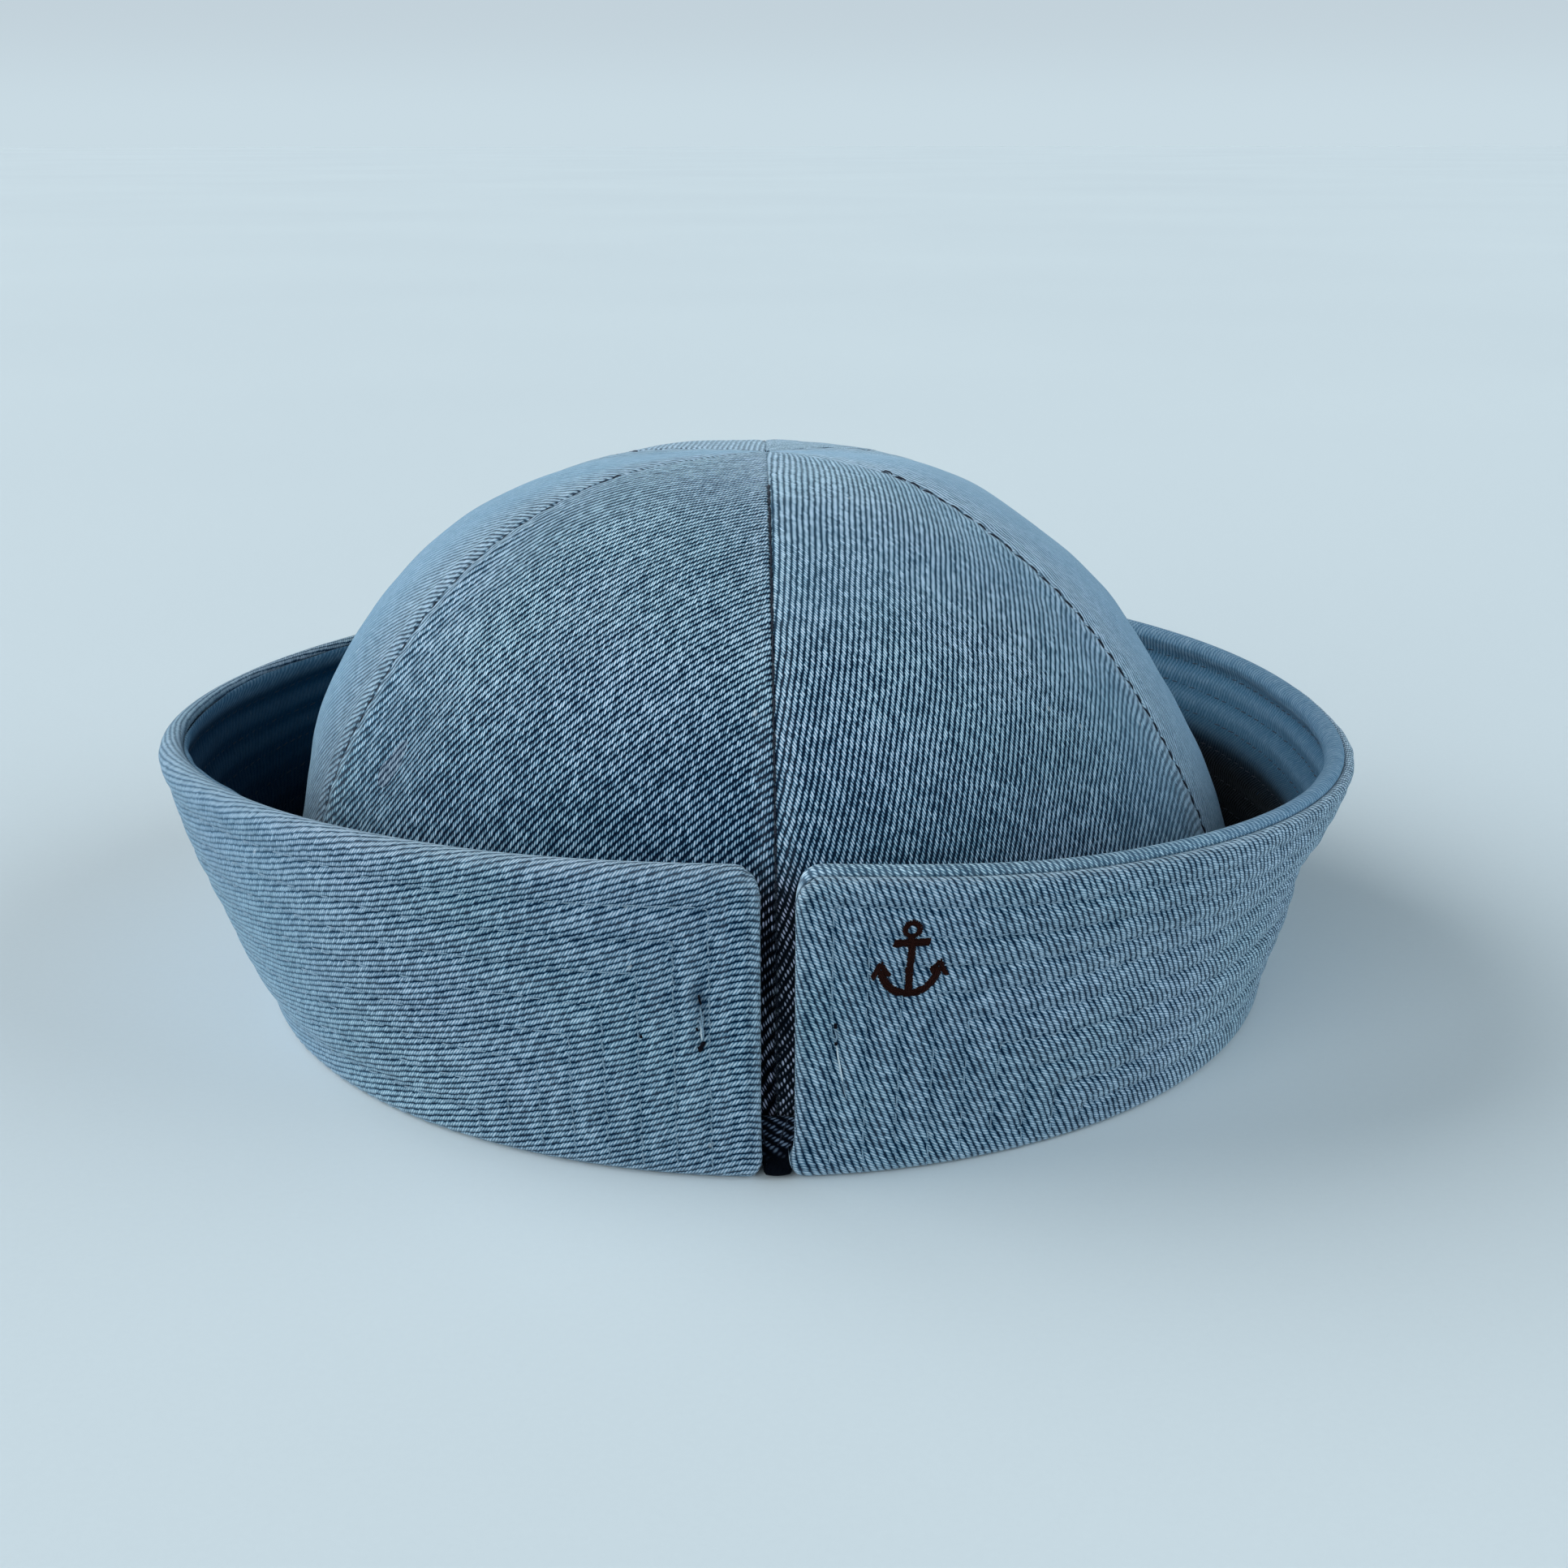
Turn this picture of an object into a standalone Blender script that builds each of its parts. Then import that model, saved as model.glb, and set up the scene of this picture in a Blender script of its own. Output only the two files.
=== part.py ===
"""Sailor cap: a soft six-gore crown inside a turned-up, rolled-edge brim that
is split at the centre back. Cloth only. Metres, +Z up, the cap stands on z = 0
on the fold of its brim, the split faces -Y, +X is the right side seen from
behind."""
import bpy
import bmesh
import math

MM = 0.001

# ---- driving dimensions (mm) ------------------------------------------------
MIDDLE_X = 3.14             # the crown's own axis, so that the origin is the middle
MIDDLE_Y = -6.91            # of the ground the whole cap covers
CROWN_HALF_WIDTH = 88.0     # outer face at the crown's lower edge, left-right
CROWN_HALF_LENGTH = 95.0    # outer face at the crown's lower edge, front-back
CROWN_EDGE_Z = 3.0          # the crown's lower edge above the surface
CROWN_RISE = 91.5           # lower edge to the top
CROWN_WALL = 1.4            # one ply of cloth with its seam allowance
SEAM_GAP = 0.3              # between neighbouring pieces
GORE_PUFF = 1.1             # how far a gore stands out between its seams
TOP_HOLE_RISE = 88.6        # rise angle at which the gores' tips end

PLY = 1.2                   # one ply of the brim
PLY_GAP = 0.4               # between the two plies
RIM_SWELL = 0.6             # added half thickness of each ply at the rolled rim
RIM_REACH = 6.5             # how far below the rim the swelling fades out
RIM_ROUND = 1.2             # radius of each ply's rolled end
FOLD_STAND_OFF = 5.1        # outer face of the fold's section below, out from the crown
FOLD_TOP_Z = 3.0            # where the fold ends and the standing wall begins
SPLIT_HALF = 2.7            # half the width of the split
SPLIT_CORNER = 4.5          # radius of the brim's corners at the split
SPLIT_RADIUS = 102.0        # from the cap's middle to the brim's face at the split

BAND_THICK = 0.9            # folded band on the crown's lower edge
BAND_STAND_OFF = 0.75       # from the crown's lower outline to the band
BAND_TOP_Z = 8.2

# ---- the crown's outline: a row per 10 degrees of rise -----------------------
# rise angle, share of the half width and half length, lean to the left (mm)
CROWN_ROWS = (
    (0.0, 1.000, 0.0),
    (10.0, 0.998, 1.1),
    (20.0, 0.964, 2.2),
    (30.0, 0.896, 3.5),
    (40.0, 0.806, 4.5),
    (50.0, 0.700, 5.6),
    (60.0, 0.572, 7.4),
    (70.0, 0.428, 8.4),
    (80.0, 0.262, 9.0),
    (90.0, 0.000, 9.0),
)

# ---- the seams: angle from the centre back near the top, angle at the lower
# edge, rise above which the seam keeps its top angle; degrees, + towards +X
SEAMS = (
    (0.0, 0.0, 45.0),
    (63.0, 67.5, 62.0),
    (121.0, 119.0, 45.0),
    (180.0, 180.0, 45.0),
    (240.0, 242.0, 45.0),
    (298.0, 291.5, 45.0),
    (360.0, 360.0, 45.0),
)

# ---- the gores: name, its left seam (row of SEAMS), its right seam -----------
GORES = (
    ("crown_panel_back_right", 0, 1),
    ("crown_panel_side_right", 1, 2),
    ("crown_panel_front_right", 2, 3),
    ("crown_panel_front_left", 3, 4),
    ("crown_panel_side_left", 4, 5),
    ("crown_panel_back_left", 5, 6),
)

# ---- soft dents in the crown: angle, rise, reach in angle, reach in rise, depth
CROWN_DENTS = (
    (-82.0, 19.0, 20.0, 9.0, 1.9),
    (-58.0, 10.0, 7.0, 9.0, 0.9),
    (-38.0, 4.0, 16.0, 7.0, 0.8),
    (50.0, 6.0, 12.0, 8.0, 0.9),
    (24.0, 52.0, 22.0, 14.0, 0.6),
    (152.0, 20.0, 18.0, 14.0, 1.2),
    (-150.0, 34.0, 18.0, 16.0, 1.0),
)

# ---- the brim around the cap: a row per 30 degrees ---------------------------
# angle, stand-off of the outer face low down (mm out from the crown), flare of
# the rim (mm), height of the rim (mm)
BRIM_ROWS = (
    (0.0, 6.7, 2.9, 50.3),
    (30.0, 5.8, 8.7, 48.3),
    (60.0, 5.2, 13.0, 47.1),
    (90.0, 5.1, 12.5, 46.2),
    (120.0, 5.1, 13.1, 46.8),
    (150.0, 5.1, 16.1, 47.0),
    (180.0, 5.1, 18.5, 45.4),
    (210.0, 5.1, 20.6, 44.4),
    (240.0, 5.2, 20.4, 43.8),
    (270.0, 5.6, 18.3, 44.4),
    (300.0, 5.5, 11.9, 47.5),
    (330.0, 6.0, 4.6, 49.1),
)

# ---- the standing wall: share of its height, share of the flare on the left
# half, share of the flare on the right half
WALL_ROWS = (
    (0.00, 0.00, 0.00),
    (0.15, 0.25, 0.11),
    (0.30, 0.41, 0.27),
    (0.45, 0.57, 0.36),
    (0.60, 0.72, 0.50),
    (0.75, 0.85, 0.78),
    (0.90, 0.95, 0.97),
    (1.05, 1.03, 1.02),
)

# ---- the fold the cap rests on: section rows in mm out from the crown --------
# outside face out, outside face z, inside face out, inside face z
OUTER_FOLD = (
    (-1.3, 1.4, -0.8, 2.4),
    (0.2, 0.3, 0.5, 1.5),
    (1.0, 0.0, 1.2, 1.2),
    (3.2, 0.0, 2.9, 1.2),
    (4.6, 0.9, 3.6, 1.7),
    (5.1, 2.8, 3.9, 3.0),
)
FACING_FOLD = (
    (0.9, 1.6, 0.9, 2.65),
    (2.7, 1.55, 2.2, 2.7),
    (3.25, 2.0, 2.4, 3.2),
)

WALL_SHARES = (0.08, 0.22, 0.42, 0.62)    # rows of the standing wall
RIM_DEPTHS = (6.5, 3.6, 1.5, 0.45, 0.0)   # rows below each ply's own rolled end

STATIONS = 50               # sections around the brim
BAND_STATIONS = 60
PANEL_COLUMNS = 8
PANEL_ROWS = 13


# ---- curves ------------------------------------------------------------------
def smooth(t):
    t = min(1.0, max(0.0, t))
    return t * t * (3.0 - 2.0 * t)


def spline(p0, p1, p2, p3, t):
    return 0.5 * (2.0 * p1 + (p2 - p0) * t + (2.0 * p0 - 5.0 * p1 + 4.0 * p2 - p3) * t * t
                  + (3.0 * p1 - p0 - 3.0 * p2 + p3) * t ** 3)


def crown_row(rise):
    """Share of the half axes and lean at a rise angle in degrees."""
    step = CROWN_ROWS[1][0]
    i = min(int(rise // step), len(CROWN_ROWS) - 2)
    t = rise / step - i
    out = []
    for col in (1, 2):
        v = [r[col] for r in CROWN_ROWS]
        before = v[i - 1] if i > 0 else v[0]
        after = v[i + 2] if i + 2 < len(v) else (-v[-2] if col == 1 else v[-1])
        out.append(spline(before, v[i], v[i + 1], after, t))
    return out


def seam_angle(seam, rise):
    top, low, settles = SEAMS[seam]
    return top + (low - top) * (1.0 - smooth(rise / settles))


def brim_row(angle):
    """Stand-off, flare and rim height at an angle in degrees, smooth all round."""
    step = BRIM_ROWS[1][0]
    angle %= 360.0
    i = int(angle // step)
    t = angle / step - i
    n = len(BRIM_ROWS)
    return [spline(*(BRIM_ROWS[(i + k) % n][col] for k in (-1, 0, 1, 2)), t) for col in (1, 2, 3)]


def wall_share(angle, share):
    """Share of the flare reached at a share of the wall's height."""
    step = WALL_ROWS[1][0]
    last = len(WALL_ROWS) - 1
    share = min(max(share, 0.0), WALL_ROWS[last][0] - 1e-6)
    i = int(share / step)
    t = share / step - i
    left, right = (spline(*(WALL_ROWS[min(max(i + k, 0), last)][col] for k in (-1, 0, 1, 2)), t)
                   for col in (1, 2))
    w = smooth(0.5 + 0.6 * math.sin(math.radians(angle)))
    return left + (right - left) * w


def turn(a, b):
    """Difference of two angles, -180 to 180."""
    return (a - b + 180.0) % 360.0 - 180.0


def dent_depth(angle, rise):
    d = 0.0
    for da, dr, wa, wr, depth in CROWN_DENTS:
        d += depth * math.exp(-(turn(angle, da) / wa) ** 2 - ((rise - dr) / wr) ** 2)
    return d


def crown_point(angle, rise, across, gap=0.0):
    """A point of the crown's outer face. across runs -1 to 1 over a gore; gap
    moves the point sideways off the seam plane."""
    share, lean = crown_row(rise)
    a, r = math.radians(angle), math.radians(rise)
    half = CROWN_HALF_WIDTH + (-lean if math.sin(a) > 0 else lean)
    puff = GORE_PUFF * (0.55 - across * across) * smooth(rise / 14.0) * smooth((90.0 - rise) / 30.0)
    out = puff - dent_depth(angle, rise)
    x = half * share * math.sin(a)
    y = -CROWN_HALF_LENGTH * share * math.cos(a)
    z = CROWN_EDGE_Z + CROWN_RISE * math.sin(r)
    slope = math.cos(r)
    x += out * math.sin(a) * slope - gap * math.cos(a)
    y += -out * math.cos(a) * slope - gap * math.sin(a)
    z += out * math.sin(r)
    return ((MIDDLE_X + x) * MM, (MIDDLE_Y + y) * MM, z * MM)


def brim_point(angle, out, z):
    """A point out mm outside the crown's lower outline."""
    a = math.radians(angle)
    return ((MIDDLE_X + (CROWN_HALF_WIDTH + out) * math.sin(a)) * MM,
            (MIDDLE_Y - (CROWN_HALF_LENGTH + out) * math.cos(a)) * MM, z * MM)


def wall_out(angle, share):
    """Brim's outer face, out from the crown, at a share of the wall's height
    above the fold."""
    stand_off, flare, _ = brim_row(angle)
    return stand_off + flare * wall_share(angle, share)


def fold_out(angle, out):
    """The fold's section widens where the brim stands further off."""
    return out + (brim_row(angle)[0] - FOLD_STAND_OFF) * smooth((out - 1.4) / 2.2)


def rim_drop(angle):
    """How far each ply's rolled end sits below the rim's height: on the right
    half the facing rolls over the top, on the left half the outer ply does."""
    side = smooth(0.5 + turn(angle, 180.0) / 40.0)   # 0 on the right, 1 on the left
    return 1.3 * (1.0 - side), 0.7 * side            # outer ply, facing


def corner_drop(angle):
    """The rim comes down in a quarter round beside the split."""
    along = SPLIT_RADIUS * abs(math.sin(math.radians(turn(angle, 0.0))))
    d = along - SPLIT_HALF
    if abs(turn(angle, 0.0)) > 90.0 or d >= SPLIT_CORNER:
        return 0.0
    d = max(d, 0.0)
    return SPLIT_CORNER - math.sqrt(SPLIT_CORNER ** 2 - (SPLIT_CORNER - d) ** 2)


# ---- builders ----------------------------------------------------------------
def material(name, colour, rough):
    m = bpy.data.materials.new(name)
    m.use_nodes = True
    p = m.node_tree.nodes["Principled BSDF"]
    p.inputs["Base Color"].default_value = (*colour, 1.0)
    p.inputs["Roughness"].default_value = rough
    p.inputs["Metallic"].default_value = 0.0
    m.diffuse_color = (*colour, 1.0)
    return m


def add_object(name, verts, faces, mat, collection):
    mesh = bpy.data.meshes.new(name)
    mesh.from_pydata(verts, [], faces)
    mesh.update()
    mesh.shade_smooth()
    mesh.set_sharp_from_angle(angle=math.radians(40.0))
    mesh.materials.append(mat)
    obj = bpy.data.objects.new(name, mesh)
    collection.objects.link(obj)
    return obj


def sheet(name, rows, thickness, mat, collection):
    """An open grid of rows of points, thickened towards its back."""
    n = len(rows[0])
    verts = [p for row in rows for p in row]
    faces = [(r * n + c, r * n + c + 1, (r + 1) * n + c + 1, (r + 1) * n + c)
             for r in range(len(rows) - 1) for c in range(n - 1)]
    obj = add_object(name, verts, faces, mat, collection)
    mod = obj.modifiers.new("thickness", "SOLIDIFY")
    mod.thickness = thickness * MM
    mod.offset = -1.0
    mod.use_even_offset = True
    return obj


def loft(name, sections, mat, collection):
    """A closed solid through a run of closed sections of equal count."""
    n = len(sections[0])
    bm = bmesh.new()
    rings = [[bm.verts.new(p) for p in s] for s in sections]
    for a, b in zip(rings[:-1], rings[1:]):
        for k in range(n):
            bm.faces.new((a[k], a[(k + 1) % n], b[(k + 1) % n], b[k]))
    half = n // 2
    for ring in (rings[0], rings[-1]):       # the two ends, as a strip of quads
        for k in range(half - 1):
            bm.faces.new((ring[k], ring[k + 1], ring[n - 2 - k], ring[n - 1 - k]))
    bmesh.ops.recalc_face_normals(bm, faces=bm.faces)
    mesh = bpy.data.meshes.new(name)
    bm.to_mesh(mesh)
    bm.free()
    mesh.shade_smooth()
    mesh.set_sharp_from_angle(angle=math.radians(50.0))
    mesh.materials.append(mat)
    obj = bpy.data.objects.new(name, mesh)
    collection.objects.link(obj)
    return obj


def crown_panel(name, left_seam, right_seam, mat, collection):
    rows = []
    for r in range(PANEL_ROWS + 1):
        t = r / PANEL_ROWS
        rise = TOP_HOLE_RISE * (t * 0.82 + 0.18 * smooth(t))
        left, right = seam_angle(left_seam, rise), seam_angle(right_seam, rise)
        row = []
        for c in range(PANEL_COLUMNS + 1):
            u = -1.0 + 2.0 * c / PANEL_COLUMNS
            angle = left + (right - left) * (u + 1.0) / 2.0
            row.append(crown_point(angle, rise, u, gap=0.5 * SEAM_GAP * u))
        rows.append(row)
    return sheet(name, rows, CROWN_WALL, mat, collection)


def brim_angles():
    """Angles of the sections, close together at the split's rounded corners."""
    near = [math.degrees(math.asin((SPLIT_HALF + SPLIT_CORNER * s) / SPLIT_RADIUS))
            for s in (0.0, 0.08, 0.30, 0.62, 1.0)]
    count = STATIONS - 2 * len(near)
    a, b = near[-1], 360.0 - near[-1]
    middle = [a + (b - a) * (k + 1) / (count + 1) for k in range(count)]
    return near + middle + [360.0 - s for s in reversed(near)]


def ply_section(angle, facing):
    """Closed section of one ply at an angle: up its outside, down its inside."""
    height = brim_row(angle)[2]
    drops = rim_drop(angle)
    rim = height - corner_drop(angle)
    top = rim - drops[1 if facing else 0]
    fold = FACING_FOLD if facing else OUTER_FOLD
    outside = [(fold_out(angle, r[0]), r[1]) for r in fold]
    inside = [(fold_out(angle, r[2]), r[3]) for r in fold]
    centre = 1.5 * PLY + PLY_GAP if facing else 0.5 * PLY
    shift = 2.0 * RIM_SWELL + 0.1 if facing else 0.1

    def row(z, depth):
        share = (z - FOLD_TOP_Z) / (height - FOLD_TOP_Z)
        face = wall_out(angle, share)
        lean = ((wall_out(angle, share + 0.02) - wall_out(angle, share - 0.02))
                / (0.04 * (height - FOLD_TOP_Z)))
        c = 1.0 / math.sqrt(1.0 + lean * lean)
        swell = smooth(1.0 - (rim - z - 1.5) / (RIM_REACH - 1.5))
        half = 0.5 * PLY + RIM_SWELL * swell
        if depth < RIM_ROUND:
            half *= max(0.22, math.sqrt(1.0 - (1.0 - depth / RIM_ROUND) ** 2))
        mid = -(centre + shift * swell)
        for side, sign in ((outside, 1.0), (inside, -1.0)):
            n = mid + sign * half
            side.append((face + n * c, z - n * lean * c))

    for share in WALL_SHARES:
        z = FOLD_TOP_Z + share * (height - FOLD_TOP_Z)
        if z < top - RIM_DEPTHS[0] - 1.0:
            row(z, top - z)
    for depth in RIM_DEPTHS:
        row(top - depth, depth)
    return [brim_point(angle, o, z) for o, z in outside + inside[::-1]]


def build():
    for obj in list(bpy.data.objects):
        bpy.data.objects.remove(obj, do_unlink=True)
    cap = bpy.data.collections.new("sailor_cap")
    bpy.context.scene.collection.children.link(cap)
    crown_cloth = material("crown_twill", (0.160, 0.250, 0.330), 0.86)
    brim_cloth = material("brim_twill", (0.165, 0.255, 0.335), 0.86)
    facing_cloth = material("facing_twill", (0.130, 0.215, 0.295), 0.88)
    band_cloth = material("folded_band", (0.060, 0.105, 0.160), 0.90)

    for name, left, right in GORES:
        crown_panel(name, left, right, crown_cloth, cap)

    angles = brim_angles()
    loft("brim_outer", [ply_section(a, False) for a in angles], brim_cloth, cap)
    loft("brim_facing", [ply_section(a, True) for a in angles], facing_cloth, cap)

    # the band all round the crown's lower edge
    around = [-180.0 + 360.0 * k / BAND_STATIONS for k in range(BAND_STATIONS)]
    inner, outer = BAND_STAND_OFF, BAND_STAND_OFF + BAND_THICK
    low, high = CROWN_EDGE_Z + 0.05, BAND_TOP_Z
    verts, faces = [], []
    for a in around:
        for o, z in ((outer, low), (outer, high), (inner, high), (inner, low)):
            verts.append(brim_point(a, o, z))
    n = len(around)
    for k in range(n):
        j = (k + 1) % n
        for e in range(4):
            f = (e + 1) % 4
            faces.append((4 * k + e, 4 * j + e, 4 * j + f, 4 * k + f))
    add_object("edge_band", verts, faces, band_cloth, cap)


build()
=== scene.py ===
"""Looks for the sailor cap: sewn twill panels, a quilted turned-up brim with a
rolled edge, threads, floor, light and camera. Metres in Blender, mm here."""
import math

import bpy
import numpy as np
from mathutils import Matrix, Vector


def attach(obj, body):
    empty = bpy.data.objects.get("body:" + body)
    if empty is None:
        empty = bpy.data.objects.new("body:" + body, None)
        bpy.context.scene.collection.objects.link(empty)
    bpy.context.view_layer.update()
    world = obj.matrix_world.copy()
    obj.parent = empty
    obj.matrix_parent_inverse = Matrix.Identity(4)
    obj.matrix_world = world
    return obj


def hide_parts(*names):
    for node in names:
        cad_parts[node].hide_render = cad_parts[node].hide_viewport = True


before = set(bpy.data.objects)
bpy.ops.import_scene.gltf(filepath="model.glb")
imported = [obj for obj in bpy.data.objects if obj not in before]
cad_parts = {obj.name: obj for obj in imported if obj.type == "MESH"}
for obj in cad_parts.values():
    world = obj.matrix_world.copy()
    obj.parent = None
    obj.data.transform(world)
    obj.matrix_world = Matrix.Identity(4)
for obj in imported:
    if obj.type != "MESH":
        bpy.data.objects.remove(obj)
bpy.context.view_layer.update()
MM = 0.001

# ---- the shape's driving tables, as in the part ------------------------------
MIDDLE_X, MIDDLE_Y = 3.14, -6.91
HALF_WIDTH, HALF_LENGTH = 88.0, 95.0
CROWN_EDGE_Z, CROWN_RISE = 3.0, 91.5
CROWN_WALL, GORE_PUFF = 1.4, 1.1
PLY, PLY_GAP = 1.2, 0.4
RIM_SWELL, RIM_REACH, RIM_ROUND = 0.6, 6.5, 1.2
FOLD_STAND_OFF, FOLD_TOP_Z = 5.1, 3.0
SPLIT_HALF, SPLIT_CORNER, SPLIT_RADIUS = 2.7, 4.5, 102.0
BAND_THICK, BAND_STAND_OFF, BAND_TOP_Z = 0.9, 0.75, 8.2
CROWN_ROWS = (
    (0.0, 1.000, 0.0), (10.0, 0.998, 1.1), (20.0, 0.964, 2.2), (30.0, 0.896, 3.5),
    (40.0, 0.806, 4.5), (50.0, 0.700, 5.6), (60.0, 0.572, 7.4), (70.0, 0.428, 8.4),
    (80.0, 0.262, 9.0), (90.0, 0.000, 9.0),
)
SEAMS = (
    (0.0, 0.0, 45.0), (63.0, 67.5, 62.0), (121.0, 119.0, 45.0), (180.0, 180.0, 45.0),
    (240.0, 242.0, 45.0), (298.0, 291.5, 45.0), (360.0, 360.0, 45.0),
)
CROWN_DENTS = (
    (-82.0, 19.0, 20.0, 9.0, 1.9), (-58.0, 10.0, 7.0, 9.0, 0.9), (-38.0, 4.0, 16.0, 7.0, 0.8),
    (50.0, 6.0, 12.0, 8.0, 0.9), (24.0, 52.0, 22.0, 14.0, 0.6), (152.0, 20.0, 18.0, 14.0, 1.2),
    (-150.0, 34.0, 18.0, 16.0, 1.0),
)
BRIM_ROWS = (
    (0.0, 6.7, 2.9, 50.3), (30.0, 5.8, 8.7, 48.3), (60.0, 5.2, 13.0, 47.1),
    (90.0, 5.1, 12.5, 46.2), (120.0, 5.1, 13.1, 46.8), (150.0, 5.1, 16.1, 47.0),
    (180.0, 5.1, 18.5, 45.4), (210.0, 5.1, 20.6, 44.4), (240.0, 5.2, 20.4, 43.8),
    (270.0, 5.6, 18.3, 44.4), (300.0, 5.5, 11.9, 47.5), (330.0, 6.0, 4.6, 49.1),
)
WALL_ROWS = (
    (0.00, 0.00, 0.00), (0.15, 0.25, 0.11), (0.30, 0.41, 0.27), (0.45, 0.57, 0.36),
    (0.60, 0.72, 0.50), (0.75, 0.85, 0.78), (0.90, 0.95, 0.97), (1.05, 1.03, 1.02),
)
OUTER_FOLD = (
    (-1.3, 1.4, -0.8, 2.4), (0.2, 0.3, 0.5, 1.5), (1.0, 0.0, 1.2, 1.2),
    (3.2, 0.0, 2.9, 1.2), (4.6, 0.9, 3.6, 1.7), (5.1, 2.8, 3.9, 3.0),
)
FACING_FOLD = (
    (0.9, 1.6, 0.9, 2.65), (2.7, 1.55, 2.2, 2.7), (3.25, 2.0, 2.4, 3.2),
)

# ---- the cloth ---------------------------------------------------------------
TWILL_PITCH = 0.98          # between the twill's diagonal lines
YARN_LEAN = 37.0            # degrees from a diagonal line to the yarns that make it
DASH_LEAN = 42.0            # and to the short pale dashes, which their twist pulls over
# gore: name, its seams, direction of the diagonals at its middle, and how they turn
GORES = (
    ("crown_panel_back_right", 0, 1, 59.0, 1.2),
    ("crown_panel_side_right", 1, 2, 57.0, 1.1),
    ("crown_panel_front_right", 2, 3, 57.0, 1.1),
    ("crown_panel_front_left", 3, 4, 57.0, 1.1),
    ("crown_panel_side_left", 4, 5, 57.0, 1.1),
    ("crown_panel_back_left", 5, 6, 54.0, 0.9),
)
# The two gores at the split were eased over the crown as they were sewn. Each row
# holds the terms W, V, WW, WV, VV, WWW, WWV, WVV, VVV of where the cloth lies, mm,
# across the yarns and along them. W is across the gore / 30, V is (up it - 50) / 50.
EASED = {
    "crown_panel_back_right": ((32.97, 2.7, -0.68, -3.22, 2.31, -1.94, 0.2, -0.43, -0.16),
                               (-3.22, 51.81, 6.19, -2.55, -0.53, 1.11, 0.85, 0.26, 0.12)),
    "crown_panel_back_left": ((28.56, 3.27, 2.0, 2.5, -2.21, -0.85, -0.6, -2.24, -0.26),
                              (-2.15, 46.69, 1.98, 4.04, 0.85, 0.94, 1.11, 1.74, 0.09)),
}
# direction of the brim's diagonals round it, seen from outside
BRIM_LAY = ((0.0, 109.6), (5.0, 110.6), (12.0, 112.8), (20.0, 115.0), (28.0, 118.3), (38.0, 122.6),
            (60.0, 128.6), (300.0, 190.6), (318.0, 193.8), (327.0, 195.6), (336.0, 197.3), (351.0, 198.6),
            (360.0, 198.9))
FACING_TWILL = 109.7
FOOT_CORNER = 2.3
# the rim's section on the right half and on the left: out from the brim's outer face
# and down from its top, up the shown side and over into the seam
RIM_OUTER = (
    ((0.46, 2.40), (0.34, 1.90), (0.04, 1.52), (-0.38, 1.30), (-0.82, 1.24), (-1.22, 1.36), (-1.48, 1.66), (-1.60, 2.1)),
    ((0.46, 2.20), (0.30, 1.30), (-0.25, 0.52), (-1.10, 0.10), (-2.10, 0.02), (-3.05, 0.30), (-3.75, 0.90), (-3.95, 1.60)),
)
RIM_FACING = (
    ((-4.52, 2.20), (-4.38, 1.30), (-3.92, 0.55), (-3.22, 0.10), (-2.42, 0.03), (-1.76, 0.32), (-1.36, 0.92), (-1.42, 1.60)),
    ((-4.52, 2.35), (-4.50, 2.12), (-4.44, 1.90), (-4.32, 1.72), (-4.17, 1.62), (-4.02, 1.64), (-3.90, 1.78), (-3.85, 2.1)),
)


# ---- curves ------------------------------------------------------------------
def smooth(t):
    t = np.clip(t, 0.0, 1.0)
    return t * t * (3.0 - 2.0 * t)


def spline(p0, p1, p2, p3, t):
    return 0.5 * (2.0 * p1 + (p2 - p0) * t + (2.0 * p0 - 5.0 * p1 + 4.0 * p2 - p3) * t * t
                  + (3.0 * p1 - p0 - 3.0 * p2 + p3) * t ** 3)


def spline_table(values, per_step, before, after, closed=False):
    """Dense samples of a spline through evenly spaced values."""
    n = len(values)
    out = []
    for i in range(n if closed else n - 1):
        p = [values[(i + k) % n] if closed else
             (before if i + k < 0 else after if i + k >= n else values[i + k]) for k in (-1, 0, 1, 2)]
        out += [spline(*p, k / per_step) for k in range(per_step)]
    out.append(values[0] if closed else values[-1])
    return np.array(out)


_shares = [r[1] for r in CROWN_ROWS]
_leans = [r[2] for r in CROWN_ROWS]
CROWN_X = np.linspace(0.0, 90.0, 9 * 40 + 1)
CROWN_SHARE = spline_table(_shares, 40, _shares[0], -_shares[-2])
CROWN_LEAN = spline_table(_leans, 40, _leans[0], _leans[-1])
BRIM_X = np.linspace(0.0, 360.0, 12 * 60 + 1)
BRIM_T = [spline_table([r[c] for r in BRIM_ROWS], 60, 0, 0, closed=True) for c in (1, 2, 3)]
WALL_X = np.linspace(0.0, 1.05, 7 * 30 + 1)
WALL_T = [spline_table([r[c] for r in WALL_ROWS], 30, WALL_ROWS[0][c], WALL_ROWS[-1][c]) for c in (1, 2)]


def seam_angle(seam, rise):
    top, low, settles = SEAMS[seam]
    return top + (low - top) * (1.0 - smooth(rise / settles))


def turn(a, b):
    return (a - b + 180.0) % 360.0 - 180.0


def dent_depth(angle, rise):
    return sum(depth * np.exp(-(turn(angle, da) / wa) ** 2 - ((rise - dr) / wr) ** 2)
               for da, dr, wa, wr, depth in CROWN_DENTS)


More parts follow.
